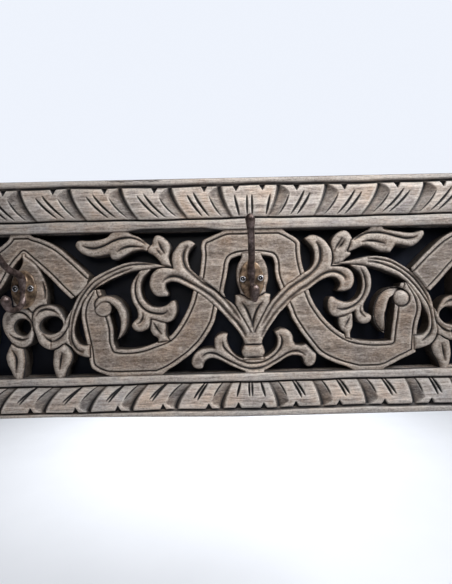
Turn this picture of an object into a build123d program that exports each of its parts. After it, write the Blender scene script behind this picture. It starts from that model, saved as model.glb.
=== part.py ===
"""A wall rack: a carved openwork board in a moulded, leaf-carved frame, with three double hooks.

Millimetres. X runs along the rack, +Z is up. The wall is the plane Y = 0 and the front faces -Y.
The origin is the centre of the back, on the wall.
"""

import os
from math import cos, radians, sin

from build123d import *

os.makedirs("parts", exist_ok=True)

# Driving dimensions: the frame
STILE_INNER = 413.0  # from the middle to the inner edge of an end stile
STILE_WIDTH = 52.0
TOP_EDGE = 152.5
TOP_INNER = 86.0
BOTTOM_INNER = -96.7
BOTTOM_EDGE = -152.5
FRAME_DEPTH = 32.0
HALF_LENGTH = STILE_INNER + STILE_WIDTH

# Mouldings across a rail: plain fillet, leaf band, plain fillet, with a quirk between them
TOP_FILLETS = (14.3, 11.0)  # inner, outer
BOTTOM_FILLETS = (11.0, 11.4)
STILE_FILLETS = (11.0, 11.0)
BAND_SINK = 1.0
QUIRK_WIDTH = 1.6
QUIRK_DEPTH = 3.0
ARRIS = 1.5

# Seats at the back of the frame: a rebate for the backing board, a groove for the carved board
REBATE_WIDTH = 8.0
BACKING_THICKNESS = 6.0
BACKING_OVERLAP = 7.5
GROOVE_DEEP = 6.0
GROOVE_NEAR_WALL = 12.0
GROOVE_NEAR_FRONT = 22.0
TENON_LENGTH = 20.0
TENON_WIDTH = 30.0
TENON_GAP = 0.2

# The carved board: its back lies on the backing, its front stands at three heights
BOARD_BACK = BACKING_THICKNESS
STRAP_FRONT = 28.0
SCROLL_FRONT = 29.0
ARM_FRONT = 30.0
TONGUE_CLEARANCE = 0.5

# Hooks: projection from the board and height above the screws
PLATE_WIDTH = 32.0
PLATE_HEIGHT = 49.0
PLATE_THICKNESS = 3.0
PLATE_DROP = 1.2
PLATE_CHAMFER = 1.2
PRONG_RADIUS = 3.5
PRONG_BEND_RADIUS = 9.0
UPPER_PRONG = [(0.5, 2.0), (5.0, 15.0), (25.0, 22.0), (53.0, 32.0), (70.0, 43.0), (79.5, 62.0)]
LOWER_PRONG = [(0.5, -2.0), (3.0, -15.0), (16.0, -24.5), (35.0, -25.5), (43.0, -14.0)]
UPPER_KNOB = (78.0, 59.0, 5.0, 9.0, 24.0)  # projection, height, radius, half length, lean
LOWER_KNOB = (42.2, -16.0, 6.0, 8.0, 30.0)
SCREW_HEAD_RADIUS = 4.0
SCREW_HEAD_HEIGHT = 2.4
SCREW_HEAD_ROUNDING = 1.8
SCREW_SHANK_RADIUS = 1.9
SCREW_LENGTH = 17.0
RECESS_RADIUS = 1.6
RECESS_DEPTH = 1.3
HOOKS = {  # middle between the screws, screw spacing, lean
    "left": (-286.9, 17.3, 19.2, 0.0),
    "centre": (1.3, 23.2, 22.5, 2.2),
    "right": (288.9, 17.3, 19.2, 0.0),
}

# Keyhole hangers let into the back of the top rail
HANGER_X = 250.0
HANGER_Z = 122.0
HANGER_WIDTH = 18.0
HANGER_HEIGHT = 52.0
HANGER_THICKNESS = 2.0
HANGER_ENTRY_RADIUS = 4.5
HANGER_SLOT_RADIUS = 2.3
HANGER_SLOT_RISE = 9.0
HANGER_POCKET_WIDTH = 11.0
HANGER_POCKET_HEIGHT = 27.0
HANGER_POCKET_DEPTH = 12.0
HANGER_SCREW_Z = 20.0
HANGER_SCREW_LENGTH = 12.0
HANGER_SCREW_RADIUS = 1.5
HANGER_SCREW_HEAD_RADIUS = 3.0
HANGER_SCREW_SLOT_WIDTH = 0.8
HANGER_SCREW_SLOT_DEPTH = 0.7

# Panel pins hold the backing board in its rebate
PIN_RADIUS = 0.8
PIN_HEAD_RADIUS = 1.8
PIN_HEAD = 0.6
PIN_LENGTH = 11.0
PIN_INSET = 3.6
PINS_ALONG = 7

# Outlines of the carved board, seen from the front as (X, Z). A point marked C is a corner, and
# the others lie on a smooth curve. Feet and roots run on under the part that crosses over them.
C = "corner"

# ---- centre motif -------------------------------------------------------------------------
CENTRE_ARCH = [(-62, 18, C), (-65, 27.4, C), (-63.4, 36.8), (-62.2, 45.7), (-61.2, 56), (-62, 65), (-59, 73.5),
               (-52.7, 76.7), (-43.8, 80.5), (-36.2, 83.7), (-29, 92, C), (38, 92, C), (46, 82.4),
               (54, 77.5), (60.5, 73), (64.2, 68), (64.6, 58), (65.5, 48), (67, 39), (69.3, 29.8, C),
               (64, 18, C), (36, 0, C), (39.4, 6.4, C), (36.9, 12.7), (33.7, 21.6), (31.8, 31.7), (31.5, 42),
               (28.7, 49.7), (22.3, 52), (10, 53.4), (-8, 53.4), (-17, 52), (-24.5, 48.5), (-27.3, 43),
               (-28.3, 36.8), (-30.2, 26.7), (-32.8, 15.3), (-34.7, 6.4, C), (-32, 0, C)]
CENTRE_BOARD = [(-10, 56, C), (14, 56, C), (15.5, 51), (19.5, 44), (22, 36), (22.8, 29), (22.3, 20),
                (20, 12), (19, 4, C), (3, -25, C), (-12, 2, C), (-14.5, 10), (-17, 18), (-18, 28),
                (-17.5, 35), (-15, 43), (-11, 50)]
CENTRE_LEAVES = [(-20, 3, C), (-12, 4, C), (3, -2, C), (19, 5.5, C), (26, 3, C), (24.6, -9, C), (14, -28),
                 (4, -52, C), (-2, -52, C), (-10, -32), (-20.8, -8, C)]
LEFT_ARM = [(-8, -63, C), (-10.4, -57), (-15.7, -46.2), (-20.7, -39.2), (-27.1, -31.6), (-34.7, -22.7),
            (-43.5, -13.2), (-56.5, -0.8), (-64.1, 5), (-72.9, 10.4), (-84.3, 16.5), (-90.7, 19.7),
            (-97, 21.6), (-103.3, 21.6), (-107.5, 19), (-107.6, 13.5), (-104.6, 6.5), (-105.9, 3, C),
            (-115, 2.6), (-120.5, 3.8), (-125.5, 8.5), (-129, 16), (-128.7, 24.1), (-126.1, 31.7),
            (-120.5, 37), (-113, 39.6), (-98.5, 38.5, C), (-99.3, 46), (-99.8, 53.3), (-98, 59),
            (-93.8, 65.3), (-89.4, 70.4), (-84.3, 72.9), (-79.3, 74.3), (-74.2, 73.6), (-68.9, 69, C),
            (-72.5, 65.5), (-76, 61.5), (-78.6, 56), (-79.3, 50), (-78.4, 44), (-76, 37.5), (-71.7, 33),
            (-66, 27.9), (-51.4, 15.9), (-43.8, 10), (-34.9, 0.9), (-22, -9.5), (-15, -20), (-8, -32),
            (1.5, -50, C), (1.5, -63, C)]
RIGHT_ARM = [(12, -63, C), (13.9, -56), (17.3, -48.7), (22.3, -40.5), (28.7, -31.6), (36.3, -21.5),
             (45.2, -13), (54.1, -3.5), (62, 1.5), (74.3, 8), (80.7, 13), (87, 17.2), (94.6, 21),
             (102.2, 23.1), (108.5, 22.2), (112.6, 18.5), (113.8, 13), (110.5, 5.2, C), (117.4, 3.9),
             (123.7, 4.9), (129, 8), (132.3, 13.5), (133.3, 20), (132, 26.7), (127.5, 32.4), (121.2, 35.2),
             (112.3, 36.4), (104, 37, C), (105.3, 44), (105.6, 50.7), (104.7, 57.1), (100.9, 64.5),
             (95.9, 71), (89.5, 75.4), (83.2, 77.6), (76.9, 77.3), (70, 73, C), (74.3, 67.8), (78.8, 62.8),
             (81.6, 56.5), (82.2, 49), (81.5, 42), (79, 36.5), (75, 32.6), (69.3, 29.5), (54.1, 19.1),
             (46.5, 14.5), (33.8, 1.5), (24, -9.5), (17, -21), (10, -34), (1.5, -50, C), (1.5, -63, C)]
VASE = [(-8.5, -48, C), (-9.8, -56), (-10, -61), (-12.6, -66), (-13.6, -70), (-12.8, -74), (-11.5, -76.5),
        (-11.5, -81, C), (15.5, -81, C), (15.2, -76), (16.7, -71.5), (16, -66.5), (13.3, -62), (13.6, -56),
        (12.5, -48, C)]
BASE_SCROLL = [(-30.1, -46.2, C), (-36, -45), (-43.5, -47.4), (-48, -52.5), (-48.3, -64.3, C), (-56.5, -63.9),
               (-63, -64.6), (-69.1, -67.1), (-74.2, -71.5), (-77.4, -77.2), (-78, -84), (-74.5, -89),
               (-68, -91.2), (-63.2, -89.5), (-60.5, -82.5), (-56, -78.6), (-49.9, -77.5), (-39.7, -81),
               (-29.6, -86.7), (-18.2, -91.5), (-10, -96, C), (-9, -103, C), (15, -103, C), (16, -95, C),
               (26.1, -89.2), (36.3, -83.5), (43, -79.3), (50.3, -76.6), (57.9, -76.6), (63.8, -79),
               (66, -86), (69.3, -90.5), (75, -91), (80.3, -87), (82.4, -81), (82, -75), (78.1, -70.9),
               (73.5, -65.8), (69.5, -61.6, C), (63, -63), (56, -62.3, C), (53.5, -57), (53, -51.5),
               (49.5, -45.5), (44, -41.8), (37, -41.2), (29, -45.5, C), (32.2, -51.9), (33.1, -58.2),
               (31.2, -65.8), (27.4, -70.9), (22.3, -75), (14, -78.6), (2, -80), (-12, -78.6), (-17, -77),
               (-22, -73.4), (-27.1, -67.1), (-30.2, -59.5), (-31.1, -51.9)]
# ---- bay on the left of the centre ------------------------------------------------------------
LEFT_STRAP = [(-205, 13, C), (-213.5, -3), (-216.2, -18), (-214.5, -32), (-212.4, -43), (-208.6, -62),
              (-206.7, -79.7), (-204.2, -86.5, C), (-196, -91.5), (-185.8, -95.5), (-170, -103, C),
              (-122, -103, C), (-107.8, -90.9), (-98.3, -85.4), (-88.1, -78.5), (-79.3, -72.1),
              (-70.4, -63.9), (-64.1, -57.6), (-59, -50.6), (-53.9, -43), (-48.9, -34.1), (-46.3, -27.8),
              (-44.8, -21.5), (-42.8, -13, C), (-50, 2, C), (-70, 16, C), (-73.2, 8.6), (-76.7, -3.7),
              (-80.5, -12.6), (-85.6, -22.7), (-91.9, -32.9), (-98.3, -41.7), (-106, -49.2),
              (-116, -53.5), (-124.9, -56.6), (-137, -60.6), (-151, -63), (-163, -63.3), (-173, -62, C),
              (-175.9, -53), (-176.2, -38), (-180, -21.5), (-186, -4), (-192, 14, C)]
LEFT_VINE = [(-101, 41, C), (-112, 43.2), (-125, 45.9), (-147, 48.3), (-159.2, 46.9), (-175.7, 41.2),
             (-190.9, 34.3), (-203.5, 26.7), (-213, 16), (-221, 6), (-227, -6), (-231.5, -20),
             (-233.5, -35), (-233.5, -49), (-230, -60), (-223, -68), (-214, -72), (-206, -73, C),
             (-206, -56, C), (-212, -56), (-218.5, -54.4), (-225, -46), (-226.5, -36), (-223.5, -24),
             (-219.2, -14), (-212.4, 0), (-201, 13.5), (-188.3, 21.6), (-169.3, 30.5), (-154, 35.3),
             (-143, 37), (-130, 38.3), (-115, 40, C)]
LEFT_TENDRIL = [(-140, 38, C), (-147, 29), (-152, 20), (-153.5, 8.9), (-151, -3.7), (-145.8, -14),
                (-145.6, -23), (-151, -28.5), (-153.3, -33), (-151, -38), (-146.5, -41), (-139, -41.2),
                (-132, -37.5), (-128.9, -31), (-128.3, -25.5, C), (-121, -27.2), (-114.7, -29.7),
                (-109, -30.6), (-103.3, -29.7), (-98.9, -26.5), (-95.7, -21.5), (-94.2, -15.1),
                (-94.4, -9), (-96, -4), (-98.5, -1.8), (-102.1, -3.1), (-107.1, -6.9), (-113.5, -9.4),
                (-119.8, -10), (-126.1, -8.8), (-132, -5), (-137, 1), (-139.5, 10), (-139.6, 19),
                (-136.5, 27), (-131, 33), (-125, 40, C)]
LEFT_CRESCENT = [(-200, -2, C), (-194, 4), (-185.8, 6.6), (-178, 6), (-169, 1.8), (-161.7, -6.3),
                 (-157.6, -15), (-156.9, -25), (-159.2, -36.7), (-163.5, -44.5), (-171.2, -50.5, C),
                 (-168, -43), (-166.6, -35), (-166.4, -26.5), (-170, -15), (-176, -6.5), (-184, -2, C)]
LEFT_EYE = (-188.3, -10, 10.6)
LEFT_BUD = [(-128.3, -24, C), (-129.9, -34), (-129.3, -41), (-126, -46.5), (-121, -50), (-120, -56, C),
            (-103, -54, C), (-108, -47), (-109, -42), (-108.4, -36), (-109, -27, C)]
LEFT_TREFOIL = [(-98.4, 39, C), (-101.2, 47), (-102.8, 54), (-101.3, 60.5), (-100.6, 66), (-102, 71),
                (-105.9, 75.8), (-110.9, 80.1), (-116, 82.1), (-120.4, 81.2), (-123.5, 77),
                (-125.1, 70.4, C), (-129.9, 68.3), (-132.7, 64), (-130, 59.6), (-123, 55.4), (-116, 47.6),
                (-112.8, 41, C)]
LEFT_TAIL = [(-222.5, 71), (-220, 76), (-214, 77.3), (-204.8, 76.7), (-188.3, 78.6), (-180, 82.5),
             (-174, 92, C), (-157, 92, C), (-150, 83.5), (-142, 80), (-134, 74), (-127, 69, C),
             (-131, 61.5, C), (-139, 63), (-149, 61.5), (-159, 55.8), (-169.3, 50.9), (-176, 52),
             (-180, 57.8, C), (-190.9, 55.8), (-203.5, 55.8), (-213.7, 59.6), (-219.5, 65)]
# ---- bay on the right of the centre -----------------------------------------------------------
RIGHT_STRAP = [(206, 14, C), (215.5, -3), (218.7, -17.7), (217.4, -27.8), (214.2, -37.9), (212.3, -48.1),
               (211.1, -60), (209.8, -75.9, C), (200.9, -80.4), (190.8, -84.8), (180.7, -89.9),
               (171.8, -94.3), (161, -103, C), (137, -103, C), (121.2, -92.4), (108.5, -88),
               (95.9, -82.3), (85.5, -75.5), (78.1, -67), (71.8, -58.5), (64.2, -48.1), (57.9, -37.9),
               (52.2, -27.8), (49, -18.5), (45.6, -10, C), (52, 4, C), (70, 14, C), (73.9, 7.4),
               (76.9, -1.2), (80.7, -10), (87, -20.2), (93.3, -29.1), (100.9, -37.5), (108.5, -44.3),
               (118.7, -51.4), (126.3, -55.3), (135.1, -58), (144.9, -59.6), (155.3, -60.7), (168, -60.9),
               (178.1, -60.1, C), (179.4, -50.6), (180.7, -40.5), (182.6, -30.3), (184, -20), (188, -2),
               (193, 13, C)]
RIGHT_VINE = [(106, 40, C), (121.2, 42.5), (136.4, 46.3), (149, 48.6), (161.7, 48.8), (171.8, 47.6),
              (180.7, 45), (189.5, 40.6), (198.4, 34.9), (207.3, 28.7), (214.9, 21), (222.5, 11.5),
              (228.8, 1.8), (233, -8), (235.6, -20), (237.5, -32), (239.4, -42), (240, -49.3),
              (237.7, -56.9), (233.9, -63), (228.8, -67.3), (220, -70.8), (208, -73, C), (208, -54, C),
              (214, -54), (219, -53.1), (223.9, -50.5), (227.7, -45), (229.4, -37.9), (228.2, -30.3),
              (225, -22.7), (220.6, -15), (211.1, 1.3), (204.7, 10.2), (197.1, 17.8), (189.5, 22.9),
              (180.7, 26.7), (170.5, 30.9), (159.1, 34.3), (150.3, 35.8), (138, 37.5), (122, 39, C)]
RIGHT_TENDRIL = [(125, 40, C), (132.5, 34), (140.1, 27.9), (143.9, 20.3), (144.2, 11.5), (142, 2.6),
                 (137.6, -4.2), (131.3, -8), (123.7, -9.4), (117.4, -8.2), (111.1, -5.6), (106, -2.2),
                 (102.2, -1.8), (99, -5.6), (97.8, -11.3), (98.4, -17.7), (100.9, -24), (106, -27.8),
                 (112.3, -28.8), (118.7, -27.8), (126.3, -25), (133.2, -22, C), (133.6, -28),
                 (136.3, -34.1), (141.4, -37.9), (147.7, -38.2), (152.4, -35.8), (154.7, -31.6),
                 (154.1, -27.5), (150.4, -24.8), (146.2, -22.3), (144.9, -17.7), (145.6, -12.6),
                 (149, -6.3), (152.8, 0.1), (155.3, 7.7), (156, 16.5), (154.7, 25.4), (151, 33), (147, 40, C)]
RIGHT_CRESCENT = [(204, -4, C), (199, 3), (192, 7.7), (184.5, 8.6), (176.9, 7), (169.3, 2.6),
                  (163.6, -5), (159.8, -13.9), (157.9, -24), (158.9, -32.9), (161.7, -40.5),
                  (166.7, -46.8), (171.2, -50.9, C), (171.5, -44.3), (170.9, -36.7), (171, -26.5),
                  (173.1, -18.9), (175.8, -10), (179.3, -3.9), (186, -1, C)]
RIGHT_EYE = (193.7, -6.5, 10.8)
RIGHT_BUD = [(111.1, -26, C), (111.2, -34), (112.2, -40), (114.5, -45.5), (118.7, -49.3), (120, -56, C),
             (128, -58, C), (127.5, -49), (129.9, -43.5), (131, -37), (130.9, -30), (130, -20, C)]
RIGHT_TREFOIL = [(103, 36, C), (106, 45), (106, 52.5), (104.5, 60.9), (104.1, 67.2), (106.6, 73.5),
                 (111.1, 78.6), (117.4, 82.3), (123.1, 83.2), (128, 80.3), (131.2, 76), (132.7, 71),
                 (131.3, 65.3), (125.6, 56.8, C), (130.3, 53.9), (129.6, 50.3), (125, 46.7), (121.2, 43),
                 (119, 38, C)]
RIGHT_TAIL = [(223.7, 80.2), (225.4, 76.1), (223.1, 71), (218.7, 65.9), (213.6, 61.7), (208.5, 59.6),
              (202.2, 60.2), (194.6, 62), (188, 62, C), (183.2, 55.8), (180.7, 52.4, C), (175.6, 53),
              (168, 54), (161.7, 56.6), (155.3, 60.2), (149, 61.7), (142.7, 60.4), (136.3, 57.7),
              (126, 54, C), (130, 69.5, C), (137.6, 73.8), (145.2, 78.6), (152.8, 82.6), (157, 92, C),
              (171, 92, C), (174.3, 84), (180.7, 82.2), (189.5, 80.3), (198.4, 78.8), (206, 77.8),
              (212.3, 78.2), (218.7, 80)]
# ---- side motif, as it stands on the left --------------------------------------------------------
SIDE_AXIS = -282
SIDE_ARCH = [(-205, 32.4, C), (-222.3, 49.5), (-241.3, 66.6), (-251.5, 73.5), (-266.7, 80.5),
             (-276, 83.5), (-280, 92, C), (-303, 92, C), (-306, 80.5), (-313.5, 73.5), (-322.7, 66.6),
             (-341.7, 49.5), (-359, 32.4, C), (-352, 14, C), (-335.3, 2.6, C), (-322.7, 13.5), (-316, 19.5),
             (-300, 46.3), (-287.6, 60.2, C), (-257.8, 33), (-241.3, 15.3), (-228.7, 2.6, C),
             (-212, 14, C)]
SIDE_BOARD = [(-289.5, 61, C), (-285.5, 61, C), (-286.3, 58, C), (-277, 51.5), (-269.2, 43), (-262.9, 30.5),
              (-259.7, 19), (-259, 3), (-262, -12, C), (-300, -12, C), (-301.5, -3), (-303.4, 8.9),
              (-302.8, 29.2), (-293.3, 41.9), (-289, 50)]
SIDE_RING_OUT = [(-294, -4), (-307, -7), (-316, -15), (-317.8, -30), (-311, -46), (-299.6, -57),
                 (-289, -58), (-281, -53), (-277.4, -44), (-277, -30), (-279, -14), (-285, -6)]
SIDE_RING_HOLE = (-292, -32, 10, 10.5, 0)
SIDE_SCROLL_OUT = [(-259, -3.5), (-270, -5.5), (-278, -13), (-279, -28), (-275.5, -42), (-271, -54),
                   (-259, -61.8), (-247.7, -60.4), (-238.8, -52), (-235.5, -40), (-236, -28),
                   (-240.5, -16), (-248, -7)]
SIDE_SCROLL_HOLE = (-255.3, -30.3, 14.6, 11, 12)
SIDE_LEAF_A = [(-306, -50, C), (-293, -52, C), (-289.5, -66), (-288.8, -76), (-290.5, -87), (-293, -103, C),
               (-302, -103, C), (-308, -88), (-313, -77), (-314, -68), (-311, -60)]
SIDE_LEAF_B = [(-251.5, -56, C), (-240, -50, C), (-231.5, -62), (-228.7, -70), (-231, -79), (-236, -88),
               (-240, -103, C), (-249, -103, C), (-253, -90), (-254.8, -79.7), (-254, -68)]
# A small leaf that ties the tail leaf to the vine against each end stile
END_LEAF = [(-420, 40, C), (-408, 45), (-402, 51), (-405, 58), (-420, 67, C)]

# The right-hand side motif mirrors the left-hand one about the middle of the pattern
PATTERN_MIDDLE = 1.0
SIDE_MOTIF_TURN = 2 * PATTERN_MIDDLE - SIDE_AXIS


def smooth_runs(points):
    """Split an outline at its corners into runs that share their end points."""
    corners = [i for i, point in enumerate(points) if len(point) > 2]
    turned = points[corners[0]:] + points[:corners[0] + 1]
    runs, run = [], [turned[0][:2]]
    for point in turned[1:]:
        run.append(point[:2])
        if len(point) > 2:
            runs.append(run)
            run = [point[:2]]
    return runs


def outline_face(points):
    """Add the face inside an outline to the sketch that is being made."""
    with BuildLine() as edge:
        if all(len(point) == 2 for point in points):
            Spline(*points, periodic=True)
        else:
            for run in smooth_runs(points):
                Polyline(*run) if len(run) == 2 else Spline(*run)
    make_face(edge.edges())


def mirrored(points, axis):
    """The same outline on the other side of a vertical line at X = axis."""
    return [(2 * axis - point[0], *point[1:]) for point in points]


def front(depth):
    """A sketch plane parallel to the wall, this far in front of it."""
    return Plane.XZ.offset(depth)


def rail_profile(edge, way, outer, fillets):
    """Section of a frame member: distance from the wall, and place across the member."""
    inner_fillet, outer_fillet = fillets
    width = way * (outer - edge)
    half_quirk = QUIRK_WIDTH / 2
    face, band, quirk = FRAME_DEPTH, FRAME_DEPTH - BAND_SINK, FRAME_DEPTH - QUIRK_DEPTH
    first, second = inner_fillet, width - outer_fillet
    steps = [
        (0, 0), (face - ARRIS, 0), (face, ARRIS),
        (face, first - half_quirk), (quirk, first), (band, first + half_quirk),
        (band, second - half_quirk), (quirk, second), (face, second + half_quirk),
        (face, width - ARRIS), (face - ARRIS, width), (0, width),
    ]
    return [(-depth, edge + way * across) for depth, across in steps]


def opening_block(margin, near_wall, near_front):
    """A block as large as the frame's opening and this much more all round."""
    with Locations((0, -(near_wall + near_front) / 2, (TOP_INNER + BOTTOM_INNER) / 2)):
        Box(2 * (STILE_INNER + margin), near_front - near_wall, TOP_INNER - BOTTOM_INNER + 2 * margin)


def tenons(length):
    """The four tenons that join the stiles to the rails, this long."""
    for side in (-1, 1):
        for edge, way in ((TOP_INNER, 1), (BOTTOM_INNER, -1)):
            with Locations((side * (STILE_INNER + STILE_WIDTH / 2),
                            -(GROOVE_NEAR_WALL + GROOVE_NEAR_FRONT) / 2, edge + way * length / 2)):
                Box(TENON_WIDTH, GROOVE_NEAR_FRONT - GROOVE_NEAR_WALL, length)


# What is cut out of the frame: the rebate, the groove and, in the rails, the mortises
with BuildPart() as board_seats:
    opening_block(REBATE_WIDTH, 0, BACKING_THICKNESS)
    opening_block(GROOVE_DEEP, GROOVE_NEAR_WALL, GROOVE_NEAR_FRONT)

with BuildPart() as mortises:
    tenons(TENON_LENGTH)

with BuildPart() as stile_tenons:
    tenons(TENON_LENGTH - TENON_GAP)


# Rails, with seats for the hangers in the back of the top one


def hanger_outline():
    SlotOverall(HANGER_HEIGHT, HANGER_WIDTH, rotation=90)


with BuildPart() as top_rail:
    with BuildSketch(Plane.YZ.offset(-HALF_LENGTH)):
        with BuildLine():
            Polyline(*rail_profile(TOP_INNER, 1, TOP_EDGE, TOP_FILLETS), close=True)
        make_face()
    extrude(amount=2 * HALF_LENGTH)
    add(board_seats.part, mode=Mode.SUBTRACT)
    add(mortises.part, mode=Mode.SUBTRACT)
    with BuildSketch(front(0)):
        with Locations((-HANGER_X, HANGER_Z), (HANGER_X, HANGER_Z)):
            hanger_outline()
    extrude(amount=HANGER_THICKNESS, mode=Mode.SUBTRACT)
    with BuildSketch(front(HANGER_THICKNESS)):
        with Locations((-HANGER_X, HANGER_Z), (HANGER_X, HANGER_Z)):
            SlotOverall(HANGER_POCKET_HEIGHT, HANGER_POCKET_WIDTH, rotation=90)
    extrude(amount=HANGER_POCKET_DEPTH, mode=Mode.SUBTRACT)

with BuildPart() as bottom_rail:
    with BuildSketch(Plane.YZ.offset(-HALF_LENGTH)):
        with BuildLine():
            Polyline(*rail_profile(BOTTOM_INNER, -1, BOTTOM_EDGE, BOTTOM_FILLETS), close=True)
        make_face()
    extrude(amount=2 * HALF_LENGTH)
    add(board_seats.part, mode=Mode.SUBTRACT)
    add(mortises.part, mode=Mode.SUBTRACT)


# Stiles, with a tenon at each end
def make_stile(side):
    with BuildPart() as stile:
        with BuildSketch(Plane.XY.offset(BOTTOM_INNER)):
            with BuildLine():
                profile = rail_profile(STILE_INNER, 1, HALF_LENGTH, STILE_FILLETS)
                Polyline(*[(side * across, depth) for depth, across in profile], close=True)
            make_face()
        extrude(amount=TOP_INNER - BOTTOM_INNER)
        add(board_seats.part, mode=Mode.SUBTRACT)
        add([tenon for tenon in stile_tenons.solids() if side * tenon.center().X > 0])
    return stile


left_stile = make_stile(-1)
right_stile = make_stile(1)

# The carved board
STRAPS = [CENTRE_ARCH, LEFT_STRAP, RIGHT_STRAP, mirrored(LEFT_STRAP, SIDE_AXIS),
          mirrored(RIGHT_STRAP, SIDE_MOTIF_TURN), SIDE_ARCH, mirrored(SIDE_ARCH, PATTERN_MIDDLE)]
SIDE_SOLIDS = [SIDE_BOARD, SIDE_RING_OUT, SIDE_SCROLL_OUT, SIDE_LEAF_A, SIDE_LEAF_B]
SCROLLS = [CENTRE_BOARD, CENTRE_LEAVES, VASE, BASE_SCROLL,
           LEFT_VINE, LEFT_TENDRIL, LEFT_CRESCENT, LEFT_BUD, LEFT_TREFOIL, LEFT_TAIL,
           RIGHT_VINE, RIGHT_TENDRIL, RIGHT_CRESCENT, RIGHT_BUD, RIGHT_TREFOIL, RIGHT_TAIL]
SCROLLS += SIDE_SOLIDS + [mirrored(points, PATTERN_MIDDLE) for points in SIDE_SOLIDS]
SCROLLS += [END_LEAF, mirrored(END_LEAF, PATTERN_MIDDLE)]
SCROLLS += [mirrored(points, SIDE_AXIS) for points in (LEFT_VINE, LEFT_CRESCENT, LEFT_TAIL)]
SCROLLS += [mirrored(points, SIDE_MOTIF_TURN) for points in (RIGHT_VINE, RIGHT_CRESCENT, RIGHT_TAIL)]
ARMS = [LEFT_ARM, RIGHT_ARM]


def turned_hole(hole, axis):
    """The same oval hole on the other side of a vertical line at X = axis."""
    x, z, half_width, half_height, turn = hole
    return 2 * axis - x, z, half_width, half_height, -turn


EYES = [LEFT_EYE, RIGHT_EYE, *mirrored([LEFT_EYE], SIDE_AXIS), *mirrored([RIGHT_EYE], SIDE_MOTIF_TURN)]
HOLES = [SIDE_RING_HOLE, SIDE_SCROLL_HOLE]
HOLES += [turned_hole(hole, PATTERN_MIDDLE) for hole in HOLES]

with BuildPart() as board_blank:
    opening_block(0, BOARD_BACK, ARM_FRONT)
    opening_block(GROOVE_DEEP - TONGUE_CLEARANCE, GROOVE_NEAR_WALL, GROOVE_NEAR_FRONT)

with BuildPart() as fret_panel:
    for outlines, height in ((STRAPS, STRAP_FRONT), (SCROLLS, SCROLL_FRONT), (ARMS, ARM_FRONT)):
        with BuildSketch(front(BOARD_BACK)) as layer:
            for outline in outlines:
                outline_face(outline)
            if outlines is SCROLLS:
                for x, z, half_width, half_height, turn in HOLES:
                    with Locations((x, z)):
                        Ellipse(half_width, half_height, rotation=turn, mode=Mode.SUBTRACT)
        extrude(amount=height - BOARD_BACK)
    with BuildSketch(front(BOARD_BACK)):
        for x, z, radius in EYES:
            with Locations((x, z)):
                Circle(radius)
    extrude(amount=ARM_FRONT - BOARD_BACK)
    add(board_blank.part, mode=Mode.INTERSECT)

# The backing board lies in the rebate behind the carved board
with BuildPart() as backing_board:
    with BuildSketch(front(0)):
        with Locations((0, (TOP_INNER + BOTTOM_INNER) / 2)):
            Rectangle(2 * (STILE_INNER + BACKING_OVERLAP),
                      TOP_INNER - BOTTOM_INNER + 2 * BACKING_OVERLAP)
    extrude(amount=BACKING_THICKNESS)


# Panel pins through the backing board into the ledge of the frame
def pin_places():
    across = 2 * STILE_INNER / (PINS_ALONG - 1)
    places = []
    for i in range(PINS_ALONG):
        x = -STILE_INNER + i * across
        x = max(-STILE_INNER + PIN_INSET, min(STILE_INNER - PIN_INSET, x))
        places += [(x, TOP_INNER + PIN_INSET), (x, BOTTOM_INNER - PIN_INSET)]
    return places


with BuildPart() as backing_pins:
    with BuildSketch(front(0)):
        with Locations(*pin_places()):
            Circle(PIN_HEAD_RADIUS)
    extrude(amount=PIN_HEAD)
    with BuildSketch(front(0)):
        with Locations(*pin_places()):
            Circle(PIN_RADIUS)
    extrude(amount=PIN_LENGTH)


# Keyhole hanger plates and their countersunk screws
def hanger_screw_places(side):
    return [(side * HANGER_X, HANGER_Z + way * HANGER_SCREW_Z) for way in (-1, 1)]


def make_hanger(side):
    with BuildPart() as hanger:
        with BuildSketch(front(0)):
            with Locations((side * HANGER_X, HANGER_Z)):
                hanger_outline()
            with Locations((side * HANGER_X, HANGER_Z - HANGER_SLOT_RISE / 2)):
                Circle(HANGER_ENTRY_RADIUS, mode=Mode.SUBTRACT)
            with Locations((side * HANGER_X, HANGER_Z)):
                SlotCenterToCenter(HANGER_SLOT_RISE, 2 * HANGER_SLOT_RADIUS, rotation=90,
                                   mode=Mode.SUBTRACT)
        extrude(amount=HANGER_THICKNESS)
    return hanger


def make_hanger_screws(side):
    """Two flat-headed screws, heads flush with the plate."""
    with BuildPart() as screws:
        with BuildSketch(front(0)):
            with Locations(*hanger_screw_places(side)):
                Circle(HANGER_SCREW_HEAD_RADIUS)
        extrude(amount=HANGER_SCREW_HEAD_RADIUS - HANGER_SCREW_RADIUS, taper=45)
        with BuildSketch(front(0)):
            with Locations(*hanger_screw_places(side)):
                Circle(HANGER_SCREW_RADIUS)
        extrude(amount=HANGER_SCREW_LENGTH)
        with BuildSketch(front(0)):
            with Locations(*hanger_screw_places(side)):
                Rectangle(2 * HANGER_SCREW_HEAD_RADIUS, HANGER_SCREW_SLOT_WIDTH)
        extrude(amount=HANGER_SCREW_SLOT_DEPTH, mode=Mode.SUBTRACT)
    return screws


# Hooks: an oval plate, a rib down its middle, and two prongs that end in knobs
def prong(path, radius):
    """Sweep a round bar along the prong's line, rounded at its bends."""
    with BuildLine(Plane.YZ) as line:
        FilletPolyline(*[(-out, up) for out, up in path], radius=PRONG_BEND_RADIUS)
    with BuildSketch(Plane(origin=line.line @ 0, z_dir=line.line % 0)) as section:
        Circle(radius)
    sweep(section.sketch, path=line.line)


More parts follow.
